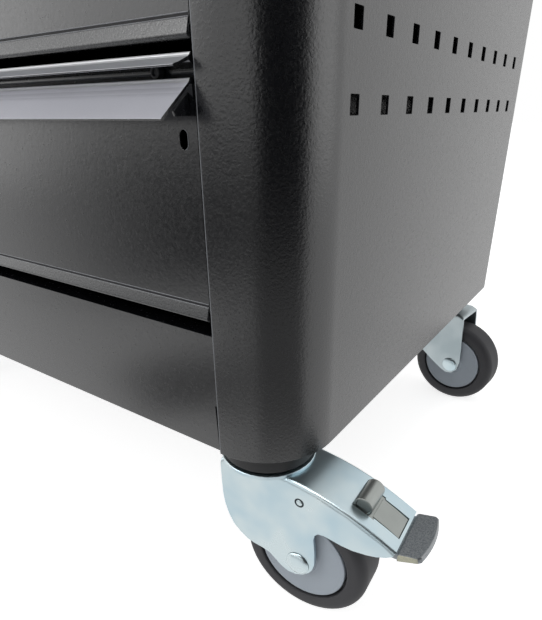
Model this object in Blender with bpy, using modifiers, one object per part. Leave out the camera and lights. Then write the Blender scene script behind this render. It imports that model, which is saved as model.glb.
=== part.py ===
"""A tool cart: a sheet steel cabinet with six drawers on runners, a worktop tray, a push
handle, a central drawer lock, two fixed casters on the left and two swivel casters on the
right, one of them with a total lock brake.

Metres, +Z up, front towards -Y. The origin is on the floor, under the middle of the box
that holds the whole cart.
"""

import math

import bmesh
import bpy
from mathutils import Matrix, Vector

# Cabinet
CABINET_WIDTH = 0.680
CABINET_DEPTH = 0.441
CORNER_RADIUS = 0.050
CORNER_STEPS = 12
POST_WIDTH = 0.053
POST_RETURN = 0.020
RETURN_NOTCH = 0.025
REAR_RETURN = 0.022
SHEET = 0.0015
FLOOR_SHEET = 0.0020
GAP = 0.0003
OVERRUN = 0.004
FACE_RECESS = 0.0012

# Perforation of the sides: square holes for hooks, in pairs of rows
HOLE = 0.010
HOLE_PITCH = 0.038
HOLE_COLUMNS = 10
HOLE_REAR_MARGIN = 0.038
HOLE_ROW_LIFT = 0.2022
HOLE_PAIRS = 2
HOLE_PAIR_PITCH = 0.304

# Plinth under the drawers
PLINTH_LOW_BAND = 0.0342
PLINTH_FACE = 0.0471
PLINTH_FLANGE = 0.014
PLINTH_LEAN = 0.0015
PLINTH_END_GAP = 0.0005
PLINTH_LOW_GAP = 0.0026

# Drawer stack, lowest first
DRAWER_LIFT = 0.0092
DEEP_PITCH = 0.1394
SHALLOW_PITCH = 0.0697
DEEP_DRAWERS = 3
SHALLOW_DRAWERS = 3
DRAWER_GAP = 0.0049
DRAWER_END_GAP = 0.0015
FRONT_SHEET = 0.0012
FRONT_FLANGE = 0.012
LIP_HEIGHT = 0.0055
LIP_PROUD = 0.0010
SLOT_WIDTH = 0.0056
SLOT_HEIGHT = 0.0094
SLOT_INSET = 0.0095
SLOT_DROP = 0.0380
TRAY_SHEET = 0.0012
TRAY_LIFT = 0.0040
TRAY_REAR_ROOM = 0.044
SHALLOW_TRAY_RIM = 0.0575
DEEP_TRAY_RIM = 0.1240

# Handle strip along the top of each drawer front, in its own section: reach out from the
# front, and drop below the drawer's top
STRIP_PLATE = 0.0015
STRIP_DROP = 0.0273
LIP_REACH = 0.0134
LIP_DROP = 0.0056
GROOVE_TOP = 0.0050
GROOVE_DEPTH = 0.0032
FIN_DROP = 0.0112
GRIP_REACH = 0.0234
GRIP_DROP = 0.0280
FIN_SHEET = 0.0015

# Runners: a channel on the cabinet's inner wall, and a channel on the drawer in it
RUNNER_LIFT = 0.026
RUNNER_HEIGHT = 0.0186
RUNNER_REACH = 0.0105
RUNNER_FLANGE = 0.0015
SLIDE_ROOM = 0.0130
MEMBER_PLAY = 0.0018
WALL_FOOT = 0.016
WALL_ABOVE_STACK = 0.006

# Worktop
TOP_RAIL_HEIGHT = 0.052
TOP_RAIL_FLANGE = 0.014
WORKTOP_OVERHANG = 0.003
WORKTOP_RIM = 0.036
WORKTOP_SHEET = 0.0020
WORKTOP_REAR_RADIUS = 0.010
MAT_THICKNESS = 0.003

# Push handle on the right side
PUSH_DROP = 0.100
PUSH_INSET = 0.0705
PUSH_REACH = 0.056
PUSH_RADIUS = 0.0125
PUSH_BEND = 0.030
PUSH_BEND_STEPS = 6
ROSETTE_RADIUS = 0.024
ROSETTE_THICKNESS = 0.005
COLLAR_WALL = 0.0035
COLLAR_LENGTH = 0.012

# Central lock, in the right end of the top rail
LOCK_INSET = 0.085
BARREL_RADIUS = 0.0080
BARREL_LENGTH = 0.0200
BARREL_PROUD = 0.0035
SLEEVE_WALL = 0.0016
ESCUTCHEON_RADIUS = 0.0130
ESCUTCHEON_THICKNESS = 0.0025
SLEEVE_LENGTH = 0.0140
KEY_WIDTH = 0.020
KEY_HEIGHT = 0.024
KEY_THICKNESS = 0.0024
KEY_SHANK = 0.010
KEY_RING_RADIUS = 0.0045
CAM_RADIUS = 0.0080
CAM_PIN_RADIUS = 0.0020
CAM_THICKNESS = 0.0024
CAM_WIDTH = 0.009
BAR_THICKNESS = 0.0030
BAR_WIDTH = 0.0050
BAR_SETBACK = 0.0230
BAR_ARM = 0.011
PAWL_REACH = 0.0090
PAWL_HEIGHT = 0.0050
PAWL_LIFT = 0.0405
STRIKER_LIFT = 0.0485
STRIKER_HEIGHT = 0.0075
STRIKER_THICKNESS = 0.0030
STRIKER_REACH = 0.0090
WINDOW_MARGIN = 0.0010

# Casters
WHEEL_RADIUS = 0.0478
WHEEL_WIDTH = 0.033
TYRE_SHOULDER = 0.0075
TYRE_GROOVE = 0.0020
SHOULDER_STEPS = 4
TYRE_DEPTH = 0.0148
HUB_RADIUS = 0.0120
HUB_END_GAP = 0.0008
RIM_SET = 0.0006
AXLE_RADIUS = 0.0040
AXLE_HEAD_RADIUS = 0.0088
AXLE_HEAD = 0.0034
ROUND_STEPS = 36
SMALL_STEPS = 20
TRAIL = 0.0355
WHEEL_SIDE_ROOM = 0.0028
FORK_SHEET = 0.0025
UNIT_UNDER_RADIUS = 0.0013
CROWN_SHARE = 1.5376
FORK_SHOULDER = 0.0030
FORK_SHOULDER_STEPS = 3
CROWN_RADIUS = 0.0330
CROWN_FLARE = 0.0120
CROWN_NECK_STEPS = 4
HEAD_RADIUS = 0.0325
HEAD_HEIGHT = 0.0151
HEAD_NECK_RADIUS = 0.0225
KINGPIN_RADIUS = 0.0060
KINGPIN_HEAD_RADIUS = 0.0105
KINGPIN_HEAD = 0.0045
NUT_HEIGHT = 0.008
PLAY = 0.0004
FRONT_SWIVEL_FROM_SIDE = 0.0423
FRONT_SWIVEL_FROM_FRONT = 0.0393
FRONT_SWIVEL_TURN = math.radians(3.2)
REAR_SWIVEL_FROM_SIDE = 0.0463
REAR_SWIVEL_FROM_REAR = 0.0345
REAR_SWIVEL_TURN = math.radians(-5.8)
FIXED_FROM_SIDE = 0.044
FIXED_PLATE_LENGTH = 0.070
FIXED_PLATE_WIDTH = 0.047
FIXED_PLATE_CORNER = 0.012

# Brake pedal of the front right caster
PEDAL_PIN_RADIUS = 0.0024
PEDAL_PIN_LIP = 0.0006
PEDAL_ARM_WIDTH = 0.0190
PEDAL_PLAY = 0.0006
TAB_LENGTH = 0.0220
TIP_WIDTH = 0.0410
TIP_REACH = 0.0165
TIP_BULGE = 0.0030
TIP_THICKNESS = 0.0070
TIP_RISE = math.radians(14)

# Outlines along the heading and up from the axle, as shares of the fork's unit: the forks'
# sides, the lines of the covers between them, and the pedal's arm
BRAKED_FORK_SHARES = (
    (-1.30, 1.44), (-1.345, 1.40), (-1.34, 1.00), (-1.33, 0.75), (-1.30, 0.56), (-1.24, 0.385),
    (-1.155, 0.225), (-1.03, 0.11), (-0.895, 0.03), (-0.77, 0.0), (-0.63, -0.012), (-0.495, -0.045),
    (-0.39, -0.125), (-0.285, -0.205), (-0.165, -0.255), (-0.04, -0.245), (0.09, -0.19), (0.187, -0.10),
    (0.243, -0.01), (0.275, 0.11), (0.275, 0.29), (0.26, 0.48), (0.25, 0.585), (0.267, 0.675),
    (0.316, 0.73), (0.41, 0.745), (0.52, 0.73), (0.675, 0.705), (0.847, 0.70), (1.04, 0.73),
    (1.176, 0.766), (1.31, 0.828), (1.40, 0.89), (1.43, 0.957), (1.226, 1.065), (0.989, 1.178),
    (0.753, 1.275), (0.516, 1.353), (0.258, 1.42), (0.0, 1.469), (-0.172, 1.495),
)
BRAKED_COVER_SHARES = (
    (-1.345, 0.30), (-1.345, 1.40), (-1.30, 1.44), (-0.172, 1.495), (0.0, 1.469), (0.258, 1.42),
    (0.516, 1.353), (0.753, 1.275), (0.989, 1.178), (1.226, 1.065), (1.43, 0.957), (1.60, 0.867),
)
PLAIN_FORK_SHARES = (
    (-1.30, 1.34), (-1.36, 1.14), (-1.33, 0.70), (-1.18, 0.46), (-0.74, 0.19), (-0.49, 0.0),
    (-0.21, -0.18), (-0.08, -0.235), (0.07, -0.22), (0.20, -0.09), (0.255, 0.14),
    (0.245, 0.49), (0.21, 1.03), (0.18, 1.36), (0.05, 1.42), (-1.18, 1.42),
)
PLAIN_COVER_SHARES = (
    (-1.33, 0.44), (-1.36, 1.14), (-1.30, 1.34), (-1.18, 1.42), (0.05, 1.42), (0.18, 1.36), (0.35, 1.28),
)
FIXED_FORK_SHARES = (
    (-0.52, 2.10), (-0.50, 1.20), (-0.28, 0.10), (-0.20, -0.14), (-0.08, -0.26),
    (0.08, -0.26), (0.20, -0.14), (0.28, 0.10), (0.50, 1.20), (0.52, 2.10),
)
PEDAL_PIN_SHARE = (0.015, 1.16)
PEDAL_ARM_SHARES = (
    (-0.070, 1.120), (-0.070, 1.190), (-0.030, 1.240), (0.080, 1.275), (0.320, 1.310),
    (0.660, 1.235), (0.965, 1.115), (1.005, 1.172), (1.205, 1.070), (1.378, 0.972),
    (1.383, 0.885), (1.470, 0.870), (1.470, 0.790), (1.376, 0.800), (1.195, 0.930),
    (1.000, 1.030), (0.785, 1.115), (0.720, 1.125), (0.665, 0.918), (0.548, 0.976),
    (0.430, 1.016), (0.408, 1.137), (0.140, 1.088), (0.075, 1.080), (-0.035, 1.080),
)
TAB_SHARE = (0.860, 1.292)
TAB_ROUND_SHARE = 0.140
WINDOW_END_SHARE = (1.392, 1.0)
TIP_SHARE = (1.446, 0.862)

FINISHES = {
    "powder coat": ((0.060, 0.062, 0.068), 0.45, 0.0),
    "handle coat": ((0.100, 0.103, 0.112), 0.40, 0.0),
    "zinc": ((0.62, 0.66, 0.68), 0.30, 1.0),
    "steel": ((0.45, 0.46, 0.47), 0.35, 1.0),
    "rubber": ((0.045, 0.044, 0.048), 0.75, 0.0),
    "grey plastic": ((0.27, 0.31, 0.36), 0.50, 0.0),
    "black plastic": ((0.030, 0.030, 0.032), 0.55, 0.0),
    "cast metal": ((0.20, 0.21, 0.22), 0.45, 0.8),
}

HALF_WIDTH = CABINET_WIDTH / 2
HALF_DEPTH = CABINET_DEPTH / 2
FACE_Y = -HALF_DEPTH + FACE_RECESS
OPENING_HALF = HALF_WIDTH - POST_WIDTH
FRONT_HALF = OPENING_HALF - DRAWER_END_GAP
FORK_UNIT = WHEEL_RADIUS - UNIT_UNDER_RADIUS
FORK_WIDTH = WHEEL_WIDTH + 2 * (WHEEL_SIDE_ROOM + FORK_SHEET)
HUB_LENGTH = FORK_WIDTH - 2 * (FORK_SHEET + HUB_END_GAP)
TAB_RADIUS = TAB_ROUND_SHARE * FORK_UNIT
RIM_RADIUS = WHEEL_RADIUS - TYRE_DEPTH
CROWN_TOP = WHEEL_RADIUS + CROWN_SHARE * FORK_UNIT
HEAD_LOW = CROWN_TOP + GAP
HEAD_TOP = HEAD_LOW + HEAD_HEIGHT
FLOOR_LOW = HEAD_TOP + GAP
FLOOR_HIGH = FLOOR_LOW + FLOOR_SHEET
SKIRT_HEIGHT = FLOOR_LOW - SHEET - GAP
HOLE_ROW = SKIRT_HEIGHT + HOLE_ROW_LIFT
PLINTH_BEND = SKIRT_HEIGHT + PLINTH_LOW_BAND
PLINTH_TOP = PLINTH_BEND + PLINTH_FACE
DRAWER_BASE = PLINTH_TOP + DRAWER_LIFT
TRAY_HALF = OPENING_HALF - SLIDE_ROOM
TRAY_FRONT = FACE_Y + FRONT_FLANGE + GAP
STACK_TOP = DRAWER_BASE + DEEP_DRAWERS * DEEP_PITCH + SHALLOW_DRAWERS * SHALLOW_PITCH
CABINET_TOP = STACK_TOP + TOP_RAIL_HEIGHT
TRAY_LENGTH = CABINET_DEPTH - TRAY_REAR_ROOM
PUSH_HEIGHT = CABINET_TOP - PUSH_DROP
PUSH_LENGTH = CABINET_DEPTH - 2 * PUSH_INSET
LOCK_Z = STACK_TOP + TOP_RAIL_HEIGHT / 2
LOCK_X = HALF_WIDTH - LOCK_INSET
CAM_HALF_RISE = CAM_RADIUS * math.sin(math.pi / 4)
BAR_Y = FACE_Y + BAR_SETBACK
PEDAL_REACH = TRAIL + TIP_SHARE[0] * FORK_UNIT + TIP_REACH
RIGHT_REACH = HALF_WIDTH - FRONT_SWIVEL_FROM_SIDE + PEDAL_REACH
LEFT_REACH = HALF_WIDTH + WORKTOP_OVERHANG
FRONT_REACH = -FACE_Y + BARREL_PROUD + GAP + KEY_SHANK + KEY_HEIGHT / 2 + KEY_WIDTH / 2
REAR_REACH = HALF_DEPTH + WORKTOP_OVERHANG
CART_X = (LEFT_REACH - RIGHT_REACH) / 2
CART_Y = (FRONT_REACH - REAR_REACH) / 2

materials = {}


def clear_scene():
    """Removes every object of the scene, and makes the two collections."""
    for thing in list(bpy.data.objects):
        bpy.data.objects.remove(thing)
    for name in ("tool_cart", "cutters"):
        bpy.context.scene.collection.children.link(bpy.data.collections.new(name))


def finish_of(node, finish):
    """A node's own Principled material."""
    colour, roughness, metallic = FINISHES[finish]
    made = bpy.data.materials.new(node + "_finish")
    made.use_nodes = True
    shader = made.node_tree.nodes["Principled BSDF"]
    shader.inputs["Base Color"].default_value = (*colour, 1)
    shader.inputs["Roughness"].default_value = roughness
    shader.inputs["Metallic"].default_value = metallic
    materials[node] = made
    return made


def empty(name, place, parent=None, turn=0):
    """An empty that carries pieces, turned about Z."""
    made = bpy.data.objects.new(name, None)
    bpy.data.collections["tool_cart"].objects.link(made)
    made.location = place
    made.rotation_euler = (0, 0, turn)
    made.parent = parent
    return made


def piece(name, bm, finish, parent):
    """A finished node from a bmesh. Without a finish it is a cutter or a shape to join."""
    mesh = bpy.data.meshes.new(name)
    bm.to_mesh(mesh)
    bm.free()
    made = bpy.data.objects.new(name, mesh)
    made.parent = parent
    if finish:
        bpy.data.collections["tool_cart"].objects.link(made)
        mesh.materials.append(finish_of(name, finish))
    else:
        bpy.data.collections["cutters"].objects.link(made)
        made.hide_render = True
        made.display_type = "WIRE"
    return made


def smooth(thing):
    """Shades the round faces of a piece smooth."""
    thing.data.shade_smooth()
    thing.data.set_sharp_from_angle(angle=math.radians(40))


def add_box(bm, low, high):
    """Adds a box between two corners."""
    low, high = Vector(low), Vector(high)
    place = Matrix.Translation((low + high) / 2) @ Matrix.Diagonal((*(high - low), 1))
    return bmesh.ops.create_cube(bm, size=1, matrix=place)["verts"]


def boxes(name, corners, finish, parent):
    """One object with a box for each pair of corners."""
    bm = bmesh.new()
    for low, high in corners:
        add_box(bm, low, high)
    return piece(name, bm, finish, parent)


def open_box(name, low, high, open_way, sheet, finish, parent):
    """A box of sheet that lacks the side facing open_way. Its outer size is the box's."""
    bm = bmesh.new()
    add_box(bm, low, high)
    away = Vector(open_way)
    bmesh.ops.delete(bm, geom=[f for f in bm.faces if f.normal.dot(away) > 1 / 2], context="FACES_ONLY")
    made = piece(name, bm, finish, parent)
    thicken(made, sheet)
    return made


def thicken(thing, sheet):
    """Gives an open surface its sheet thickness, inwards."""
    wall = thing.modifiers.new("sheet", "SOLIDIFY")
    wall.thickness = sheet
    wall.offset = -1
    wall.use_even_offset = True


def ribbon(name, path, low, high, sheet, finish, parent):
    """Sheet bent along a plan path, standing from low to high. Its outer face is on the
    right of the path's direction."""
    bm = bmesh.new()
    feet = [bm.verts.new((x, y, low)) for x, y in path]
    edges = [bm.edges.new(pair) for pair in zip(feet, feet[1:])]
    risen = bmesh.ops.extrude_edge_only(bm, edges=edges)["geom"]
    tops = [v for v in risen if isinstance(v, bmesh.types.BMVert)]
    bmesh.ops.translate(bm, verts=tops, vec=(0, 0, high - low))
    bm.faces.ensure_lookup_table()
    bm.normal_update()
    along = Vector((*path[1], 0)) - Vector((*path[0], 0))
    first = min(bm.faces, key=lambda f: (f.calc_center_median() - feet[0].co).length)
    if first.normal.dot(along.cross(Vector((0, 0, 1)))) < 0:
        bmesh.ops.reverse_faces(bm, faces=bm.faces)
    made = piece(name, bm, finish, parent)
    thicken(made, sheet)
    return made


def flat_piece(name, outline, thickness, place, finish, parent, holes=()):
    """A flat outline with holes, half its thickness to each side of its own XY plane, put
    at a place."""
    if not holes:
        bm = bmesh.new()
        face = bm.faces.new([bm.verts.new((x, y, -thickness / 2)) for x, y in outline])
        risen = bmesh.ops.extrude_face_region(bm, geom=[face])["geom"]
        tops = [v for v in risen if isinstance(v, bmesh.types.BMVert)]
        bmesh.ops.translate(bm, verts=tops, vec=(0, 0, thickness))
        bmesh.ops.recalc_face_normals(bm, faces=bm.faces)
        bm.transform(place)
        return piece(name, bm, finish, parent)
    curve = bpy.data.curves.new(name + "_outline", "CURVE")
    curve.dimensions = "2D"
    curve.fill_mode = "BOTH"
    curve.extrude = thickness / 2
    for points in (outline, *holes):
        add_line(curve, points).use_cyclic_u = True
    guide = bpy.data.objects.new(name + "_outline", curve)
    bpy.data.collections["cutters"].objects.link(guide)
    return from_curve(name, guide, place, finish, parent)


def add_line(curve, points):
    """Adds a line of straight runs through plan points to a curve."""
    spline = curve.splines.new("POLY")
    spline.points.add(len(points) - len(spline.points))
    for point, place in zip(spline.points, points):
        point.co.xy = place
    return spline


def from_curve(name, guide, place, finish, parent):
    """Turns a curve object into a closed mesh piece at a place, and removes the curve."""
    bpy.context.view_layer.update()
    seen = guide.evaluated_get(bpy.context.evaluated_depsgraph_get())
    mesh = bpy.data.meshes.new_from_object(seen)
    bm = bmesh.new()
    bm.from_mesh(mesh)
    bmesh.ops.remove_doubles(bm, verts=bm.verts, dist=GAP / 10)
    bmesh.ops.recalc_face_normals(bm, faces=bm.faces)
    bm.transform(place @ guide.matrix_world)
    bpy.data.meshes.remove(mesh)
    bpy.data.objects.remove(guide)
    return piece(name, bm, finish, parent)


def across(x=0):
    """A place whose outline lies in a YZ plane at x: outline x runs along Y, y along Z."""
    return Matrix.Translation((x, 0, 0)) @ Matrix(((0, 0, 1, 0), (1, 0, 0, 0), (0, 1, 0, 0), (0, 0, 0, 1)))


def facing(y=0):
    """A place whose outline lies in an XZ plane at y: outline x runs along X, y along Z."""
    return Matrix.Translation((0, y, 0)) @ Matrix.Rotation(math.pi / 2, 4, "X")


def level(z):
    """A place whose outline lies flat at height z."""
    return Matrix.Translation((0, 0, z))


def turned(name, profile, steps, place, finish, parent):
    """A closed turned shape: its profile of (radius, height) pairs goes round from the
    lower outer side up and back, and is swept about the place's Z axis."""
    bm = bmesh.new()
    ring = [bm.verts.new((r, 0, z)) for r, z in profile]
    edges = [bm.edges.new(pair) for pair in zip(ring, ring[1:])]
    if profile[0][0] > 0:
        edges.append(bm.edges.new((ring[-1], ring[0])))
    bmesh.ops.spin(
        bm, geom=ring + edges, axis=(0, 0, 1), cent=(0, 0, 0), angle=math.tau, steps=steps, use_merge=True
    )
    bmesh.ops.remove_doubles(bm, verts=bm.verts, dist=GAP / 10)
    bmesh.ops.recalc_face_normals(bm, faces=bm.faces)
    bm.transform(place)
    made = piece(name, bm, finish, parent)
    smooth(made)
    return made


def rod(name, radius, low, high, steps, place, finish, parent):
    """A round rod along the place's Z axis."""
    bm = bmesh.new()
    bmesh.ops.create_cone(
        bm, cap_ends=True, segments=steps, radius1=radius, radius2=radius, depth=high - low,
        matrix=place @ Matrix.Translation((0, 0, (low + high) / 2)),
    )
    made = piece(name, bm, finish, parent)
    smooth(made)
    return made


def combine(thing, operation, others):
    """Joins other closed shapes to a piece, or cuts them out of it."""
    for other in others:
        step = thing.modifiers.new(other.name, "BOOLEAN")
        step.operation = operation
        step.object = other
        step.solver = "EXACT"


def soften(thing, width, steps=2):
    """Rounds the sharp edges of a piece."""
    bevel = thing.modifiers.new("rounding", "BEVEL")
    bevel.width = width
    bevel.segments = steps
    bevel.limit_method = "ANGLE"
    bevel.angle_limit = math.radians(50)


def arc(cx, cy, radius, start, stop, steps):
    """Points along an arc, with the angles in quarter turns."""
    angles = [(start + (stop - start) * i / steps) * math.pi / 2 for i in range(steps + 1)]
    return [(cx + radius * math.cos(a), cy + radius * math.sin(a)) for a in angles]


def plan(inset, rear_radius=0):
    """The cabinet's plan outline, moved in by inset: two round front corners."""
    radius = CORNER_RADIUS - inset
    x, y, back = HALF_WIDTH - CORNER_RADIUS, -HALF_DEPTH + CORNER_RADIUS, HALF_DEPTH - inset
    front = arc(-x, y, radius, 2, 3, CORNER_STEPS) + arc(x, y, radius, 3, 4, CORNER_STEPS)
    if not rear_radius:
        return front + [(x + radius, back), (-x - radius, back)]
    rx, ry = x + radius - rear_radius, back - rear_radius
    return front + arc(rx, ry, rear_radius, 0, 1, 4) + arc(-rx, ry, rear_radius, 1, 2, 4)


def drawers():
    """Number, base height and pitch of each drawer, lowest first."""
    base = DRAWER_BASE
    for number in range(1, DEEP_DRAWERS + SHALLOW_DRAWERS + 1):
        pitch = DEEP_PITCH if number <= DEEP_DRAWERS else SHALLOW_PITCH
        yield number, base, pitch
        base += pitch


def side_panel(name, side, parent):
    """One side with its round corner post, its returns and its hook holes."""
    front = [(OPENING_HALF, -HALF_DEPTH + POST_RETURN), (OPENING_HALF, -HALF_DEPTH)]
    corner = arc(HALF_WIDTH - CORNER_RADIUS, -HALF_DEPTH + CORNER_RADIUS, CORNER_RADIUS, 3, 4, CORNER_STEPS)
    rear = [(HALF_WIDTH, HALF_DEPTH), (HALF_WIDTH - REAR_RETURN, HALF_DEPTH)]
    path = front + corner + rear
    if side < 0:
        path = [(-x, y) for x, y in reversed(path)]
    panel = ribbon(name, path, SKIRT_HEIGHT, CABINET_TOP, SHEET, "powder coat", parent)
    x = side * HALF_WIDTH
    reach = SHEET + OVERRUN
    holes = []
    for column in range(HOLE_COLUMNS):
        y = HALF_DEPTH - HOLE_REAR_MARGIN - column * HOLE_PITCH
        for row in range(2 * HOLE_PAIRS):
            z = HOLE_ROW + row // 2 * HOLE_PAIR_PITCH + row % 2 * HOLE_PITCH
            holes.append(((x - reach, y - HOLE / 2, z - HOLE / 2), (x + reach, y + HOLE / 2, z + HOLE / 2)))
    inner = side * (OPENING_HALF - OVERRUN), side * (OPENING_HALF + SHEET + OVERRUN)
    notch_low = (min(inner), -HALF_DEPTH + SHEET + GAP, SKIRT_HEIGHT - OVERRUN)
    notch_high = (max(inner), -HALF_DEPTH + POST_RETURN + OVERRUN, SKIRT_HEIGHT + RETURN_NOTCH)
    cutter = boxes(name + "_holes", [*holes, (notch_low, notch_high)], None, parent)
    combine(panel, "DIFFERENCE", [cutter])
    smooth(panel)
    return panel


def runner_wall(name, side, parent):
    """The inner wall that carries the cabinet's half of the runners on one side."""
    inner, outer, foot = OPENING_HALF, OPENING_HALF + SHEET, OPENING_HALF + SHEET + WALL_FOOT
    low, high = FLOOR_HIGH + GAP, STACK_TOP + WALL_ABOVE_STACK
    tip = inner - RUNNER_REACH
    outline = [(inner, low)]
    for _number, base, _pitch in drawers():
        middle = base + RUNNER_LIFT
        for edge in (-1, 1):
            near = middle + edge * RUNNER_HEIGHT / 2
            far = near + edge * RUNNER_FLANGE
            first, last = sorted((near, far))
            outline += [(inner, first), (tip, first), (tip, last), (inner, last)]
    outline += [(inner, high), (outer, high), (outer, low + SHEET), (foot, low + SHEET), (foot, low)]
    outline = [(side * x, z) for x, z in outline]
    front = -HALF_DEPTH + POST_RETURN + GAP
    back = TRAY_FRONT + TRAY_LENGTH
    place = facing((front + back) / 2)
    wall = flat_piece(name, outline, back - front, place, "steel", parent)
    if side > 0:
        windows = []
        for _number, base, _pitch in drawers():
            low_z = base + PAWL_LIFT - WINDOW_MARGIN
            high_z = base + PAWL_LIFT + PAWL_HEIGHT + 2 * CAM_HALF_RISE + WINDOW_MARGIN
            windows.append((
                (inner - OVERRUN, BAR_Y - WINDOW_MARGIN, low_z),
                (outer + OVERRUN, BAR_Y + BAR_THICKNESS + WINDOW_MARGIN, high_z),
            ))
        room = KINGPIN_HEAD_RADIUS + WINDOW_MARGIN
        for _x, y, _turn in swivel_places():
            windows.append((
                (inner - OVERRUN, y - room, low - OVERRUN),
                (foot + OVERRUN, y + room, low + NUT_HEIGHT + WINDOW_MARGIN),
            ))
        combine(wall, "DIFFERENCE", [boxes(name + "_windows", windows, None, parent)])
    return wall


def cabinet(parent):
    """The fixed sheet metal of the cabinet."""
    side_panel("side_panel_right", 1, parent)
    side_panel("side_panel_left", -1, parent)
    runner_wall("runner_wall_right", 1, parent)
    runner_wall("runner_wall_left", -1, parent)

    inside = SHEET + GAP
    step = OPENING_HALF + SHEET
    front_y = FACE_Y + PLINTH_LEAN + SHEET + GAP
    outline = plan(inside)
    left, right = outline[: CORNER_STEPS + 1], outline[CORNER_STEPS + 1 : 2 * CORNER_STEPS + 2]
    low_y = left[-1][1]
    outline = left + [(-step, low_y), (-step, front_y), (step, front_y), (step, low_y)] + right
    outline += [(HALF_WIDTH - inside, HALF_DEPTH - inside), (inside - HALF_WIDTH, HALF_DEPTH - inside)]
    holes = [
        arc(x, y, KINGPIN_RADIUS + PLAY, 0, 4, SMALL_STEPS)[:-1] for x, y, _turn in swivel_places()
    ]
    flat_piece(
        "base_floor", outline, FLOOR_SHEET, level(FLOOR_LOW + FLOOR_SHEET / 2), "powder coat", parent, holes
    )

    wide = HALF_WIDTH - inside
    back_y = HALF_DEPTH - inside
    open_box(
        "back_panel", (-wide, back_y - PLINTH_FLANGE, FLOOR_HIGH + GAP), (wide, back_y, CABINET_TOP),
        (0, -1, 0), SHEET, "powder coat", parent,
    )
    plinth(parent)

    rail_half = OPENING_HALF - GAP
    rail = open_box(
        "top_rail", (-rail_half, FACE_Y, STACK_TOP), (rail_half, FACE_Y + TOP_RAIL_FLANGE, CABINET_TOP),
        (0, 1, 0), SHEET, "powder coat", parent,
    )
    hole = rod(
        "top_rail_hole", BARREL_RADIUS + SLEEVE_WALL + 2 * GAP, -OVERRUN, SHEET + OVERRUN, SMALL_STEPS,
        Matrix.Translation((LOCK_X, FACE_Y, LOCK_Z)) @ Matrix.Rotation(-math.pi / 2, 4, "X"), None, parent,
    )
    combine(rail, "DIFFERENCE", [hole])


def plinth(parent):
    """The bent sheet below the drawers. Its lower band is shorter at both ends."""
    low = SKIRT_HEIGHT
    inner = FACE_Y + PLINTH_FLANGE
    path = [
        (inner, PLINTH_TOP), (FACE_Y, PLINTH_TOP), (FACE_Y, PLINTH_BEND), (FACE_Y + PLINTH_LEAN, low),
        (inner, low),
    ]
    half = OPENING_HALF - PLINTH_END_GAP
    sheet = ribbon("front_plinth", path, -half, half, SHEET, "powder coat", parent)
    sheet.data.transform(across())
    ends = []
    for side in (-1, 1):
        x = sorted((side * (OPENING_HALF - PLINTH_LOW_GAP), side * (OPENING_HALF + OVERRUN)))
        ends.append(((x[0], FACE_Y - OVERRUN, low - OVERRUN), (x[1], inner + OVERRUN, PLINTH_BEND)))
    combine(sheet, "DIFFERENCE", [boxes("front_plinth_ends", ends, None, parent)])


def strip_section():
    """The handle strip's section as (reach out of the front, drop below the top) pairs: a
    back plate, a lip at its top, a groove, and a grip fin that slopes out and down."""
    plate, back = STRIP_PLATE, GAP
    lip = [
        (back, 0), (plate, GAP), (LIP_REACH / 2, LIP_DROP / 2 - GAP), (LIP_REACH, LIP_DROP),
        (LIP_REACH - GAP, LIP_DROP + FIN_SHEET), (LIP_REACH / 2, LIP_DROP / 2 + FIN_SHEET),
    ]
    groove_low = FIN_DROP - GAP
    middle = (GROOVE_TOP + groove_low) / 2
    groove = [(plate, GROOVE_TOP - GAP), (-GROOVE_DEPTH * 2 / 3, GROOVE_TOP + FIN_SHEET / 2)]
    groove += [
        (-GROOVE_DEPTH, middle), (-GROOVE_DEPTH * 2 / 3, groove_low - FIN_SHEET / 2), (plate, groove_low),
    ]
    slope = math.atan2(GRIP_DROP - FIN_DROP, GRIP_REACH - plate)
    under_x, under_z = FIN_SHEET * math.sin(slope), FIN_SHEET * math.cos(slope)
    root_drop = FIN_DROP + FIN_SHEET / math.cos(slope)
    fin = [
        (plate + FIN_SHEET, FIN_DROP + FIN_SHEET / 2), (GRIP_REACH, GRIP_DROP),
        (GRIP_REACH - under_x, GRIP_DROP + under_z), (plate, root_drop),
    ]
    rear = -GROOVE_DEPTH - FIN_SHEET
    back_side = [
        (plate, STRIP_DROP), (back, STRIP_DROP), (back, FIN_DROP + FIN_SHEET), (rear, FIN_DROP),
        (rear, GROOVE_TOP),
    ]
    return lip + groove + fin + back_side


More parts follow.
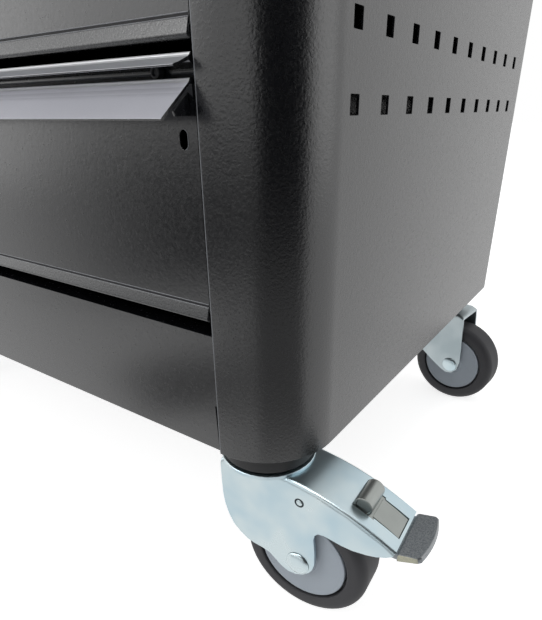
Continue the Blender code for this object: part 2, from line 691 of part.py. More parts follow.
def drawer(number, base, pitch, cart):
    """One drawer: its tray with the runner channels, its front and its handle strip."""
    name = f"drawer_{number}"
    mover = empty(name + "_slide", (0, 0, base), cart)
    top = pitch - DRAWER_GAP
    deep = pitch > (DEEP_PITCH + SHALLOW_PITCH) / 2
    rim = DEEP_TRAY_RIM if deep else SHALLOW_TRAY_RIM
    rear = TRAY_FRONT + TRAY_LENGTH

    tray = open_box(
        name + "_tray", (-TRAY_HALF, TRAY_FRONT, TRAY_LIFT), (TRAY_HALF, rear, rim), (0, 0, 1),
        TRAY_SHEET, "powder coat", mover,
    )
    joined = []
    outer, root = OPENING_HALF - MEMBER_PLAY, TRAY_HALF - TRAY_SHEET / 2
    half = RUNNER_HEIGHT / 2 - GAP
    web, flange = outer - RUNNER_FLANGE, half - RUNNER_FLANGE
    section = [
        (root, -half), (outer, -half), (outer, half), (root, half), (root, flange), (web, flange),
        (web, -flange), (root, -flange),
    ]
    length = TRAY_LENGTH - 2 * OVERRUN
    for side in (-1, 1):
        outline = [(side * x, RUNNER_LIFT + z) for x, z in section]
        place = facing((TRAY_FRONT + rear) / 2)
        joined.append(flat_piece(f"{name}_channel_{side}", outline, length, place, None, mover))
    striker_y = BAR_Y + BAR_THICKNESS + 2 * GAP
    joined.append(boxes(name + "_striker", [(
        (root, striker_y, STRIKER_LIFT),
        (TRAY_HALF + STRIKER_REACH, striker_y + STRIKER_THICKNESS, STRIKER_LIFT + STRIKER_HEIGHT),
    )], None, mover))
    combine(tray, "UNION", joined)

    panel_top = top - FIN_DROP - FIN_SHEET - GAP
    front = open_box(
        name + "_front", (-FRONT_HALF, FACE_Y, 0), (FRONT_HALF, FACE_Y + FRONT_FLANGE, panel_top),
        (0, 1, 0), FRONT_SHEET, "powder coat", mover,
    )
    lip = boxes(name + "_lip", [(
        (-FRONT_HALF, FACE_Y - LIP_PROUD, GAP), (FRONT_HALF, FACE_Y + FRONT_SHEET / 2, LIP_HEIGHT),
    )], None, mover)
    combine(front, "UNION", [lip])
    slots = []
    for side in (-1, 1):
        x, z, radius = side * (FRONT_HALF - SLOT_INSET), top - SLOT_DROP, SLOT_WIDTH / 2
        straight = SLOT_HEIGHT / 2 - radius
        outline = arc(x, z + straight, radius, 0, 2, 6) + arc(x, z - straight, radius, 2, 4, 6)
        slots.append(flat_piece(f"{name}_slot_{side}", outline, 2 * OVERRUN, facing(FACE_Y), None, mover))
    combine(front, "DIFFERENCE", slots)

    section = [(FACE_Y - reach, top - drop) for reach, drop in strip_section()]
    flat_piece(name + "_handle", section, 2 * FRONT_HALF, across(), "handle coat", mover)


def worktop(parent):
    """The worktop tray with its rim, and the mat in it."""
    base = CABINET_TOP + GAP
    bm = bmesh.new()
    corners = [bm.verts.new((x, y, base)) for x, y in plan(-WORKTOP_OVERHANG, WORKTOP_REAR_RADIUS)]
    bottom = bm.faces.new(corners)
    bmesh.ops.recalc_face_normals(bm, faces=[bottom])
    if bottom.normal.z > 0:
        bottom.normal_flip()
    walls = bmesh.ops.extrude_edge_only(bm, edges=list(bottom.edges))["geom"]
    tops = [v for v in walls if isinstance(v, bmesh.types.BMVert)]
    bmesh.ops.translate(bm, verts=tops, vec=(0, 0, WORKTOP_RIM))
    bmesh.ops.recalc_face_normals(bm, faces=bm.faces)
    if bottom.normal.z > 0:
        bmesh.ops.reverse_faces(bm, faces=bm.faces)
    tray = piece("worktop_tray", bm, "powder coat", parent)
    thicken(tray, WORKTOP_SHEET)
    smooth(tray)
    inset = WORKTOP_SHEET + GAP - WORKTOP_OVERHANG
    low = base + WORKTOP_SHEET + GAP
    rear_radius = WORKTOP_REAR_RADIUS - WORKTOP_SHEET - GAP
    place = level(low + MAT_THICKNESS / 2)
    flat_piece("worktop_mat", plan(inset, rear_radius), MAT_THICKNESS, place, "rubber", parent)


def push_handle(parent):
    """The bent tube on the right side, and its two rosettes."""
    start, reach = HALF_WIDTH + GAP + ROSETTE_THICKNESS + GAP, HALF_WIDTH + PUSH_REACH
    half = PUSH_LENGTH / 2
    path = [(start, -half)] + arc(reach - PUSH_BEND, PUSH_BEND - half, PUSH_BEND, 3, 4, PUSH_BEND_STEPS)
    path += arc(reach - PUSH_BEND, half - PUSH_BEND, PUSH_BEND, 0, 1, PUSH_BEND_STEPS) + [(start, half)]
    curve = bpy.data.curves.new("push_handle_line", "CURVE")
    curve.dimensions = "3D"
    curve.bevel_depth = PUSH_RADIUS
    curve.bevel_resolution = 4
    curve.use_fill_caps = True
    add_line(curve, path)
    guide = bpy.data.objects.new("push_handle_line", curve)
    bpy.data.collections["cutters"].objects.link(guide)
    bar = from_curve("push_handle_bar", guide, level(PUSH_HEIGHT), "powder coat", parent)
    smooth(bar)
    bore = PUSH_RADIUS + GAP
    profile = [
        (0, 0), (ROSETTE_RADIUS, 0), (ROSETTE_RADIUS, ROSETTE_THICKNESS),
        (bore + COLLAR_WALL, ROSETTE_THICKNESS), (bore + COLLAR_WALL, COLLAR_LENGTH), (bore, COLLAR_LENGTH),
        (bore, ROSETTE_THICKNESS), (0, ROSETTE_THICKNESS),
    ]
    for name, y in (("push_handle_rosette_front", -half), ("push_handle_rosette_rear", half)):
        place = Matrix.Translation((HALF_WIDTH + GAP, y, PUSH_HEIGHT)) @ Matrix.Rotation(math.pi / 2, 4, "Y")
        turned(name, profile, SMALL_STEPS, place, "powder coat", parent)


def lock(cart):
    """The central lock: escutcheon, barrel, key, cam, and the bar whose pawls hold the
    drawers once it is up."""
    inwards = Matrix.Rotation(-math.pi / 2, 4, "X")
    axis = Matrix.Translation((LOCK_X, FACE_Y, LOCK_Z))
    bore, sleeve = BARREL_RADIUS + GAP, BARREL_RADIUS + GAP + SLEEVE_WALL - GAP
    profile = [
        (bore, -ESCUTCHEON_THICKNESS), (ESCUTCHEON_RADIUS, -ESCUTCHEON_THICKNESS),
        (ESCUTCHEON_RADIUS, -GAP), (sleeve, -GAP), (sleeve, SLEEVE_LENGTH), (bore, SLEEVE_LENGTH),
    ]
    turned("lock_escutcheon", profile, SMALL_STEPS, axis @ inwards, "zinc", cart)

    mover = empty("lock_turn", (LOCK_X, FACE_Y, LOCK_Z), cart)
    rod("lock_barrel", BARREL_RADIUS, -BARREL_PROUD, BARREL_LENGTH - GAP, SMALL_STEPS, inwards, "zinc", mover)
    corner = KEY_WIDTH / 4
    bow_low = KEY_SHANK
    outline = [(-corner, 0), (corner, 0), (corner, bow_low)]
    middle = bow_low + KEY_HEIGHT / 2
    outline += arc(0, middle, KEY_WIDTH / 2, -2 / 3, 8 / 3, SMALL_STEPS)
    outline += [(-corner, bow_low)]
    ring = arc(0, middle + KEY_RING_RADIUS / 2, KEY_RING_RADIUS, 0, 4, SMALL_STEPS)[:-1]
    outwards = Matrix(((0, 0, 1, 0), (0, -1, 0, 0), (1, 0, 0, 0), (0, 0, 0, 1)))
    place = Matrix.Translation((0, -BARREL_PROUD - GAP, 0)) @ outwards
    flat_piece("lock_key", outline, KEY_THICKNESS, place, "steel", mover, [ring])

    rest = -math.pi / 4
    pin_x, pin_z = CAM_RADIUS * math.cos(rest), CAM_RADIUS * math.sin(rest)
    outline = arc(CAM_RADIUS, 0, CAM_WIDTH / 2, -1, 1, 6) + arc(0, 0, CAM_WIDTH / 2, 1, 3, 6)
    cam_y = BARREL_LENGTH + CAM_THICKNESS / 2
    place = facing(cam_y) @ Matrix.Rotation(rest, 4, "Z")
    cam = flat_piece("lock_cam", outline, CAM_THICKNESS, place, "steel", mover)
    pin_end = BAR_SETBACK + BAR_THICKNESS + FIN_SHEET
    pin_place = Matrix.Translation((pin_x, 0, pin_z)) @ inwards
    pin = rod("lock_cam_pin", CAM_PIN_RADIUS, cam_y, pin_end, 12, pin_place, None, mover)
    combine(cam, "UNION", [pin])
    lock_bar(pin_x, pin_z, cart)


def lock_bar(pin_x, pin_z, cart):
    """The flat bar behind the right post, at rest in its low, unlocked place."""
    near = OPENING_HALF + SHEET + GAP
    far = near + BAR_WIDTH
    tip = OPENING_HALF - PAWL_REACH
    arm_z = LOCK_Z + pin_z
    slot_half = CAM_PIN_RADIUS + 2 * PLAY
    arm_tip = LOCK_X + pin_x - CAM_PIN_RADIUS - CAM_PIN_RADIUS - BAR_WIDTH
    outline = [(far, DRAWER_BASE), (near, DRAWER_BASE)]
    for _number, base, _pitch in drawers():
        low = base + PAWL_LIFT
        outline += [(near, low), (tip, low), (tip, low + PAWL_HEIGHT), (near, low + PAWL_HEIGHT)]
    outline += [
        (near, arm_z - BAR_ARM / 2), (arm_tip, arm_z - BAR_ARM / 2), (arm_tip, arm_z + BAR_ARM / 2),
        (far, arm_z + BAR_ARM / 2),
    ]
    left, right = LOCK_X + pin_x - slot_half, LOCK_X + CAM_RADIUS + slot_half
    slot = [
        (left, arm_z - slot_half), (right, arm_z - slot_half), (right, arm_z + slot_half),
        (left, arm_z + slot_half),
    ]
    flat_piece("lock_bar", outline, BAR_THICKNESS, facing(BAR_Y + BAR_THICKNESS / 2), "steel", cart, [slot])


def swivel_places():
    """Plan place and heading of the front and the rear swivel."""
    return (
        (HALF_WIDTH - FRONT_SWIVEL_FROM_SIDE, -HALF_DEPTH + FRONT_SWIVEL_FROM_FRONT, FRONT_SWIVEL_TURN),
        (HALF_WIDTH - REAR_SWIVEL_FROM_SIDE, HALF_DEPTH - REAR_SWIVEL_FROM_REAR, REAR_SWIVEL_TURN),
    )


def placed(shares, shift):
    """Places in a fork's own XZ plane, from shares of the fork's unit round the axle."""
    return [(shift + a * FORK_UNIT, WHEEL_RADIUS + u * FORK_UNIT) for a, u in shares]


def below(line, sheet):
    """A line from the rear to the front, moved down by a sheet's thickness."""
    steps = [(Vector(b) - Vector(a)).normalized() for a, b in zip(line, line[1:])]
    moved = []
    for place, before, after in zip(line, steps[:1] + steps, steps + steps[-1:]):
        middle = (before + after).normalized()
        normal = Vector((middle.y, -middle.x))
        moved.append(tuple(Vector(place) + normal * sheet / max(middle.dot(before), 1 / 2)))
    return moved


def round_shoulders(shell, cover):
    """Rounds the edges in which the cheeks meet the cover along its line."""
    bm = bmesh.new()
    bm.from_mesh(shell.data)
    line = [Vector((x, 0, z)) for x, z in cover]
    shoulders = []
    for edge in bm.edges:
        near = [min((Vector((v.co.x, 0, v.co.z)) - place).length for place in line) for v in edge.verts]
        along = edge.verts[0].co - edge.verts[1].co
        if max(near) < GAP and abs(along.y) < GAP:
            shoulders.append(edge)
    bmesh.ops.bevel(
        bm, geom=shoulders, offset=FORK_SHOULDER, segments=FORK_SHOULDER_STEPS, profile=1 / 2, affect="EDGES"
    )
    bm.to_mesh(shell.data)
    bm.free()


def fork_shell(name, outline, cover, parent):
    """A fork pressed from sheet: both cheeks with the outline, and the cover between them
    under the cover line. It is open below."""
    shell = flat_piece(name, outline, FORK_WIDTH, facing(), "zinc", parent)
    round_shoulders(shell, cover)
    inner = below(cover, FORK_SHEET)
    floor = -WHEEL_RADIUS
    inner += [(inner[-1][0], floor), (inner[0][0], floor)]
    cut = flat_piece(name + "_inside", inner, FORK_WIDTH - 2 * FORK_SHEET, facing(), None, parent)
    combine(shell, "DIFFERENCE", [cut])
    return shell


def along_y(x=0, z=0):
    """A place whose Z axis runs back along +Y."""
    return Matrix.Translation((x, 0, z)) @ Matrix.Rotation(-math.pi / 2, 4, "X")


def wheel(name, shift, parent):
    """Rim and tyre of one wheel, turning about its axle."""
    mover = empty(name + "_wheel", (shift, 0, WHEEL_RADIUS), parent)
    half = WHEEL_WIDTH / 2
    seat, round_at = RIM_RADIUS + GAP, WHEEL_RADIUS - TYRE_SHOULDER
    flat = half - TYRE_SHOULDER
    tyre = [(seat, TYRE_GROOVE - half), (seat + TYRE_GROOVE, -half)]
    tyre += arc(round_at, -flat, TYRE_SHOULDER, -1, 0, SHOULDER_STEPS)
    tyre += arc(round_at, flat, TYRE_SHOULDER, 0, 1, SHOULDER_STEPS)
    tyre += [(seat + TYRE_GROOVE, half), (seat, half - TYRE_GROOVE)]
    turned(name + "_tyre", tyre, ROUND_STEPS, along_y(), "rubber", mover)
    bore, hub = AXLE_RADIUS + GAP, HUB_LENGTH / 2
    face, edge = half - RIM_SET, RIM_RADIUS - RIM_SET
    rim = [
        (bore, -hub), (HUB_RADIUS, -hub), (HUB_RADIUS, -face), (edge, -face), (RIM_RADIUS, RIM_SET - face),
        (RIM_RADIUS, face - RIM_SET), (edge, face), (HUB_RADIUS, face), (HUB_RADIUS, hub), (bore, hub),
    ]
    turned(name + "_rim", rim, ROUND_STEPS, along_y(), "grey plastic", mover)


def headed_pin(name, radius, head_radius, head, place, parent):
    """A pin through both cheeks, with a rounded head outside each of them."""
    inner, outer = FORK_WIDTH / 2 + GAP, FORK_WIDTH / 2 + GAP + head
    face = head_radius - head / 2
    profile = [
        (0, -outer), (face, -outer), (head_radius, -outer + head / 2), (head_radius, -inner),
        (radius, -inner), (radius, inner), (head_radius, inner), (head_radius, outer - head / 2),
        (face, outer), (0, outer),
    ]
    turned(name, profile, SMALL_STEPS, place, "zinc", parent)


def cheek_bores(name, places, parent):
    """Cutters through both cheeks at (x, z, radius) places."""
    length = FORK_WIDTH / 2 + OVERRUN
    return [
        rod(f"{name}_bore_{i}", radius, -length, length, SMALL_STEPS, along_y(x, z), None, parent)
        for i, (x, z, radius) in enumerate(places)
    ]


def swivel_caster(name, place, shares, cover, braked, cart):
    """One swivel caster: its head and kingpin on the cabinet, and the fork, axle and wheel
    that turn below it."""
    x, y, turn = place
    base = empty(name + "_base", (x, y, 0), cart, turn)
    bore = KINGPIN_RADIUS + PLAY
    foot = HEAD_RADIUS - FORK_SHEET
    rim = SKIRT_HEIGHT - GAP
    head = [
        (bore, HEAD_LOW), (foot, HEAD_LOW), (HEAD_RADIUS, HEAD_LOW + FORK_SHEET), (HEAD_RADIUS, rim),
        (HEAD_NECK_RADIUS, rim), (HEAD_NECK_RADIUS, HEAD_TOP), (bore, HEAD_TOP),
    ]
    turned(name + "_head", head, ROUND_STEPS, Matrix(), "black plastic", base)

    crown_low = CROWN_TOP - 2 * FORK_SHEET
    head_low, head_high = crown_low - GAP - KINGPIN_HEAD, crown_low - GAP
    nut_low = FLOOR_HIGH + GAP
    kingpin = [
        (0, head_low), (KINGPIN_HEAD_RADIUS, head_low), (KINGPIN_HEAD_RADIUS, head_high),
        (KINGPIN_RADIUS, head_high), (KINGPIN_RADIUS, nut_low), (KINGPIN_HEAD_RADIUS, nut_low),
        (KINGPIN_HEAD_RADIUS, nut_low + NUT_HEIGHT), (0, nut_low + NUT_HEIGHT),
    ]
    turned(name + "_kingpin", kingpin, SMALL_STEPS, Matrix(), "zinc", base)

    swivel = empty(name + "_swivel", (x, y, 0), cart, turn)
    fork = fork_shell(name + "_fork", placed(shares, TRAIL), placed(cover, TRAIL), swivel)
    flange_low = CROWN_TOP - FORK_SHEET
    neck = arc(CROWN_RADIUS, flange_low - CROWN_FLARE, CROWN_FLARE, 2, 1, CROWN_NECK_STEPS)
    crown = [(0, neck[0][1]), *neck, (CROWN_RADIUS, CROWN_TOP - GAP)]
    crown += [(CROWN_RADIUS - GAP, CROWN_TOP), (0, CROWN_TOP)]
    solid = turned(name + "_crown", crown, ROUND_STEPS, Matrix(), None, swivel)
    combine(fork, "UNION", [solid])
    room = KINGPIN_HEAD_RADIUS + 2 * PLAY
    recess = rod(name + "_recess", room, 0, crown_low, SMALL_STEPS, Matrix(), None, swivel)
    hole = rod(name + "_hole", bore, WHEEL_RADIUS, CROWN_TOP + OVERRUN, SMALL_STEPS, Matrix(), None, swivel)
    bores = [(TRAIL, WHEEL_RADIUS, AXLE_RADIUS + GAP)]
    pin_x, pin_z = placed([PEDAL_PIN_SHARE], TRAIL)[0]
    if braked:
        bores.append((pin_x, pin_z, PEDAL_PIN_RADIUS + GAP))
    combine(fork, "DIFFERENCE", [recess, hole, *cheek_bores(name, bores, swivel)])
    headed_pin(name + "_axle", AXLE_RADIUS, AXLE_HEAD_RADIUS, AXLE_HEAD, along_y(TRAIL, WHEEL_RADIUS), swivel)
    if braked:
        combine(fork, "DIFFERENCE", [pedal_window(name, swivel)])
        head_radius = PEDAL_PIN_RADIUS + PEDAL_PIN_LIP
        headed_pin("pedal_pin", PEDAL_PIN_RADIUS, head_radius, PEDAL_PIN_LIP, along_y(pin_x, pin_z), swivel)
        brake_pedal(swivel)
    smooth(fork)
    wheel(name, TRAIL, swivel)


def pedal_window(name, swivel):
    """Cutter for the window in the housing's cover, wider where the rolled tab stands."""
    tab_x = placed([TAB_SHARE], TRAIL)[0][0]
    start = tab_x - TAB_RADIUS - PEDAL_PLAY
    middle = tab_x + TAB_RADIUS + 2 * PEDAL_PLAY
    end = placed([WINDOW_END_SHARE], TRAIL)[0][0]
    tab_half, half = TAB_LENGTH / 2 + PEDAL_PLAY, PEDAL_ARM_WIDTH / 2 + PEDAL_PLAY
    low, high = WHEEL_RADIUS * 3 / 2, CROWN_TOP + OVERRUN
    outline = [
        (start, -tab_half), (middle, -tab_half), (middle, -half), (end, -half), (end, half),
        (middle, half), (middle, tab_half), (start, tab_half),
    ]
    return flat_piece(name + "_window", outline, high - low, level((low + high) / 2), None, swivel)


def brake_pedal(swivel):
    """The rocking pedal: an arm from its pin with a shoe over the tyre, a plate that fills
    the window, a rolled tab at the plate's rear, and a cast tip in front of the nose."""
    pin_x, pin_z = placed([PEDAL_PIN_SHARE], TRAIL)[0]
    mover = empty("brake_pedal_rock", (pin_x, 0, pin_z), swivel)
    back = Matrix.Translation((-pin_x, 0, -pin_z))
    arm_outline = placed(PEDAL_ARM_SHARES, TRAIL)
    pedal = flat_piece("brake_pedal", arm_outline, PEDAL_ARM_WIDTH, back @ facing(), "cast metal", mover)

    tab_x, tab_z = placed([TAB_SHARE], TRAIL)[0]
    half = TAB_LENGTH / 2
    tab_place = back @ along_y(tab_x, tab_z)
    tab = rod("brake_pedal_tab", TAB_RADIUS, -half, half, SMALL_STEPS, tab_place, None, mover)
    inner_x, tip_z = placed([TIP_SHARE], TRAIL)[0]
    outer, bulge, corner = inner_x + TIP_REACH, TIP_BULGE, TIP_THICKNESS / 2
    wide = TIP_WIDTH / 2
    outline = [(inner_x, -wide), (outer - bulge - corner, -wide), (outer - bulge, corner - wide)]
    outline += [(outer - bulge / 4, -wide / 2), (outer, 0), (outer - bulge / 4, wide / 2)]
    outline += [(outer - bulge, wide - corner), (outer - bulge - corner, wide), (inner_x, wide)]
    tilt = Matrix.Translation((inner_x, 0, tip_z)) @ Matrix.Rotation(-TIP_RISE, 4, "Y")
    place = back @ tilt @ Matrix.Translation((-inner_x, 0, 0))
    tip = flat_piece("brake_pedal_tip", outline, TIP_THICKNESS, place, None, mover)
    soften(tip, TIP_THICKNESS / 5)
    combine(pedal, "UNION", [tab, tip])
    bore = rod(
        "brake_pedal_bore", PEDAL_PIN_RADIUS + GAP, -PEDAL_ARM_WIDTH, PEDAL_ARM_WIDTH, SMALL_STEPS,
        along_y(), None, mover,
    )
    combine(pedal, "DIFFERENCE", [bore])
    smooth(pedal)


def fixed_caster(name, y, cart):
    """One fixed caster on the left: a bracket with its plate, and the wheel below it."""
    base = empty(name + "_base", (FIXED_FROM_SIDE - HALF_WIDTH, y, 0), cart)
    outline = [(x, min(z, HEAD_TOP)) for x, z in placed(FIXED_FORK_SHARES, 0)]
    cover = [(-WHEEL_RADIUS, HEAD_TOP), (WHEEL_RADIUS, HEAD_TOP)]
    bracket = fork_shell(name + "_bracket", outline, cover, base)
    long, wide = FIXED_PLATE_LENGTH / 2, FIXED_PLATE_WIDTH / 2
    near, side = long - FIXED_PLATE_CORNER, wide - FIXED_PLATE_CORNER
    corners = [(long, side), (near, wide), (-near, wide), (-long, side), (-long, -side), (-near, -wide)]
    corners += [(near, -wide), (long, -side)]
    plate = flat_piece(name + "_plate", corners, FORK_SHEET, level(HEAD_TOP - FORK_SHEET / 2), None, base)
    combine(bracket, "UNION", [plate])
    combine(bracket, "DIFFERENCE", cheek_bores(name, [(0, WHEEL_RADIUS, AXLE_RADIUS + GAP)], base))
    headed_pin(name + "_axle", AXLE_RADIUS, AXLE_HEAD_RADIUS, AXLE_HEAD, along_y(0, WHEEL_RADIUS), base)
    wheel(name, 0, base)


def main():
    """Builds the cart."""
    clear_scene()
    cart = empty("cart", (CART_X, CART_Y, 0))
    cabinet(cart)
    for number, base, pitch in drawers():
        drawer(number, base, pitch, cart)
    worktop(cart)
    push_handle(cart)
    lock(cart)
    front, rear = swivel_places()
    swivel_caster("caster_front_right", front, BRAKED_FORK_SHARES, BRAKED_COVER_SHARES, True, cart)
    swivel_caster("caster_rear_right", rear, PLAIN_FORK_SHARES, PLAIN_COVER_SHARES, False, cart)
    fixed_caster("caster_front_left", FRONT_SWIVEL_FROM_FRONT - HALF_DEPTH, cart)
    fixed_caster("caster_rear_left", HALF_DEPTH - FRONT_SWIVEL_FROM_FRONT, cart)


main()
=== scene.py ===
"""Looks of a steel tool cart with drawers: finishes, fine pieces, camera and light.

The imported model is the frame. Its nodes keep their place and get a finish and rounded
edges, and the pieces that need a finer form are modelled here and stand for their nodes.
Outlines are in millimetres, and everything else is in metres.
"""

import logging
import math
from collections.abc import Sequence
from dataclasses import dataclass
from enum import Enum
from functools import lru_cache

import bmesh
import bpy
from mathutils import Matrix, Vector


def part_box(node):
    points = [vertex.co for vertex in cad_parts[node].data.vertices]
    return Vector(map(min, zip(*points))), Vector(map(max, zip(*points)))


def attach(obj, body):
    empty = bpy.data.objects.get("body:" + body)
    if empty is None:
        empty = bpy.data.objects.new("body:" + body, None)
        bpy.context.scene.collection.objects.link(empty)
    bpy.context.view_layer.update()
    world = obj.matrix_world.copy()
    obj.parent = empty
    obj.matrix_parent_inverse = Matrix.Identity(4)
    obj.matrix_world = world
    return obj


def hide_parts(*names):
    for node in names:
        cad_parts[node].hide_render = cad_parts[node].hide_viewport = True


log = logging.getLogger("tool_cart")

Point = tuple[float, float, float]
Outline = tuple[tuple[float, float], ...]

MM = 0.001
JOIN = 0.002 * MM  # corners closer than this are one corner
CRISP_SHARE = 100  # how far the large faces rule the shading, at its most


def linear(hex_colour: str) -> tuple[float, float, float, float]:
    """Turns an sRGB hex colour into the linear colour that a shader takes.

    Args:
        hex_colour: Six hex digits, with or without a hash sign.

    Returns:
        Red, green, blue and an alpha of 1.
    """
    digits = hex_colour.lstrip("#")
    values = [int(digits[i : i + 2], 16) / 255 for i in (0, 2, 4)]
    return (*(v / 12.92 if v <= 0.04045 else ((v + 0.055) / 1.055) ** 2.4 for v in values), 1.0)


def add(tree: bpy.types.NodeTree, kind: str, inputs: dict | None = None,
        **settings: object) -> bpy.types.Node:
    """Adds a shader node with its settings and links.

    Args:
        tree: Node tree that takes the node.
        kind: Node type, without the ShaderNode prefix.
        inputs: Values, or sockets to link from, by input name or number.
        settings: Properties of the node itself.

    Returns:
        The new node.
    """
    made = tree.nodes.new("ShaderNode" + kind)
    for name, value in settings.items():
        setattr(made, name, value)
    for name, value in (inputs or {}).items():
        if isinstance(value, bpy.types.NodeSocket):
            tree.links.new(value, made.inputs[name])
        else:
            made.inputs[name].default_value = value
    return made


class Finish:
    """A surface finish that can make its own material."""

    name: str

    def shade(self, tree: bpy.types.NodeTree, shader: bpy.types.Node, place: bpy.types.NodeSocket) -> None:
        """Adds the finish's nodes to a material. Each finish has its own.

        Args:
            tree: Node tree of the material.
            shader: Its principled shader.
            place: Object coordinates.
        """
        raise NotImplementedError

    def material(self) -> bpy.types.Material:
        """Makes the material once, and hands out the same one after that.

        Returns:
            The material of this finish.
        """
        made = bpy.data.materials.get(self.name)
        if made:
            return made
        made = bpy.data.materials.new(self.name)
        made.use_nodes = True
        tree = made.node_tree
        place = add(tree, "TexCoord").outputs["Object"]
        self.shade(tree, tree.nodes["Principled BSDF"], place)
        return made


@dataclass(frozen=True)
class PowderCoat(Finish):
    """Polyester powder coat on steel sheet, sprayed and baked. It gives the eye a soft
    mirror that orange peel breaks up, with a finer grain on top. The grain is drawn at
    0.35 mm, coarser than the real one, so that it shows."""

    name: str = "powder_coat_black"
    colour: str = "#0c0d10"
    fleck: str = "#111216"
    metallic: float = 0.0
    gloss: float = 1.0
    roughness: float = 0.22
    wander: tuple[float, float] = (-0.04, 0.06)
    peel_mm: float = 2.0
    peel_depth_mm: float = 0.07
    grain_mm: float = 0.35
    grain_depth_mm: float = 0.012
    cloud_mm: float = 60.0

    def shade(self, tree: bpy.types.NodeTree, shader: bpy.types.Node, place: bpy.types.NodeSocket) -> None:
        """Peel and grain in the bump, and a faint cloud in colour and gloss.

        Args:
            tree: Node tree of the material.
            shader: Its principled shader.
            place: Object coordinates.
        """
        peel = add(tree, "TexNoise", {
            "Vector": place, "Scale": 1 / (self.peel_mm * MM), "Detail": 2.5, "Roughness": 0.55,
            "Distortion": 0.4,
        })
        grain = add(tree, "TexNoise", {"Vector": place, "Scale": 1 / (self.grain_mm * MM), "Detail": 1.0})
        cloud = add(tree, "TexNoise", {"Vector": place, "Scale": 1 / (self.cloud_mm * MM), "Detail": 2.0})
        tint = add(tree, "Mix", {
            0: cloud.outputs["Fac"], 6: linear(self.colour), 7: linear(self.fleck),
        }, data_type="RGBA")
        gloss = add(tree, "MapRange", {
            "Value": peel.outputs["Fac"], "From Min": 0.3, "From Max": 0.7,
            "To Min": self.roughness + self.wander[0], "To Max": self.roughness + self.wander[1],
        })
        coarse = add(tree, "Bump", {
            "Height": peel.outputs["Fac"], "Distance": self.peel_depth_mm * MM, "Strength": 1.0,
        })
        fine = add(tree, "Bump", {
            "Height": grain.outputs["Fac"], "Distance": self.grain_depth_mm * MM, "Strength": 1.0,
            "Normal": coarse.outputs["Normal"],
        })
        shader.inputs["Metallic"].default_value = self.metallic
        shader.inputs["Specular IOR Level"].default_value = self.gloss
        tree.links.new(tint.outputs[2], shader.inputs["Base Color"])
        tree.links.new(gloss.outputs["Result"], shader.inputs["Roughness"])
        tree.links.new(fine.outputs["Normal"], shader.inputs["Normal"])


@dataclass(frozen=True)
class ZincPlate(Finish):
    """Bright zinc plate on pressed steel, passivated. It gives the eye a cool white metal
    with a faint blue bloom, a soft gloss and the fine grain of the rolled sheet, drawn at
    0.5 mm so that it shows."""

    name: str = "zinc_plate_bright"
    colour: str = "#cddadd"
    bloom: str = "#bacfd8"
    roughness: float = 0.30
    wander: tuple[float, float] = (-0.04, 0.06)
    wave_mm: float = 22.0
    wave_depth_mm: float = 0.10
    grain_mm: float = 0.5
    grain_depth_mm: float = 0.004
    cloud_mm: float = 30.0

    def shade(self, tree: bpy.types.NodeTree, shader: bpy.types.Node, place: bpy.types.NodeSocket) -> None:
        """Clouds in colour and gloss, a long wave and fine grain in the bump.

        Args:
            tree: Node tree of the material.
            shader: Its principled shader.
            place: Object coordinates.
        """
        cloud = add(tree, "TexNoise", {"Vector": place, "Scale": 1 / (self.cloud_mm * MM), "Detail": 2.0})
        grain = add(tree, "TexNoise", {"Vector": place, "Scale": 1 / (self.grain_mm * MM), "Detail": 2.0})
        wave = add(tree, "TexNoise", {"Vector": place, "Scale": 1 / (self.wave_mm * MM), "Detail": 0.0})
        spread = add(tree, "MapRange", {"Value": cloud.outputs["Fac"], "From Min": 0.35, "From Max": 0.68})
        tint = add(tree, "Mix", {
            0: spread.outputs["Result"], 6: linear(self.colour), 7: linear(self.bloom),
        }, data_type="RGBA")
        gloss = add(tree, "MapRange", {
            "Value": cloud.outputs["Fac"], "From Min": 0.3, "From Max": 0.7,
            "To Min": self.roughness + self.wander[0], "To Max": self.roughness + self.wander[1],
        })
        long = add(tree, "Bump", {
            "Height": wave.outputs["Fac"], "Distance": self.wave_depth_mm * MM, "Strength": 1.0,
        })
        fine = add(tree, "Bump", {
            "Height": grain.outputs["Fac"], "Distance": self.grain_depth_mm * MM, "Strength": 1.0,
            "Normal": long.outputs["Normal"],
        })
        shader.inputs["Metallic"].default_value = 1.0
        tree.links.new(tint.outputs[2], shader.inputs["Base Color"])
        tree.links.new(gloss.outputs["Result"], shader.inputs["Roughness"])
        tree.links.new(fine.outputs["Normal"], shader.inputs["Normal"])


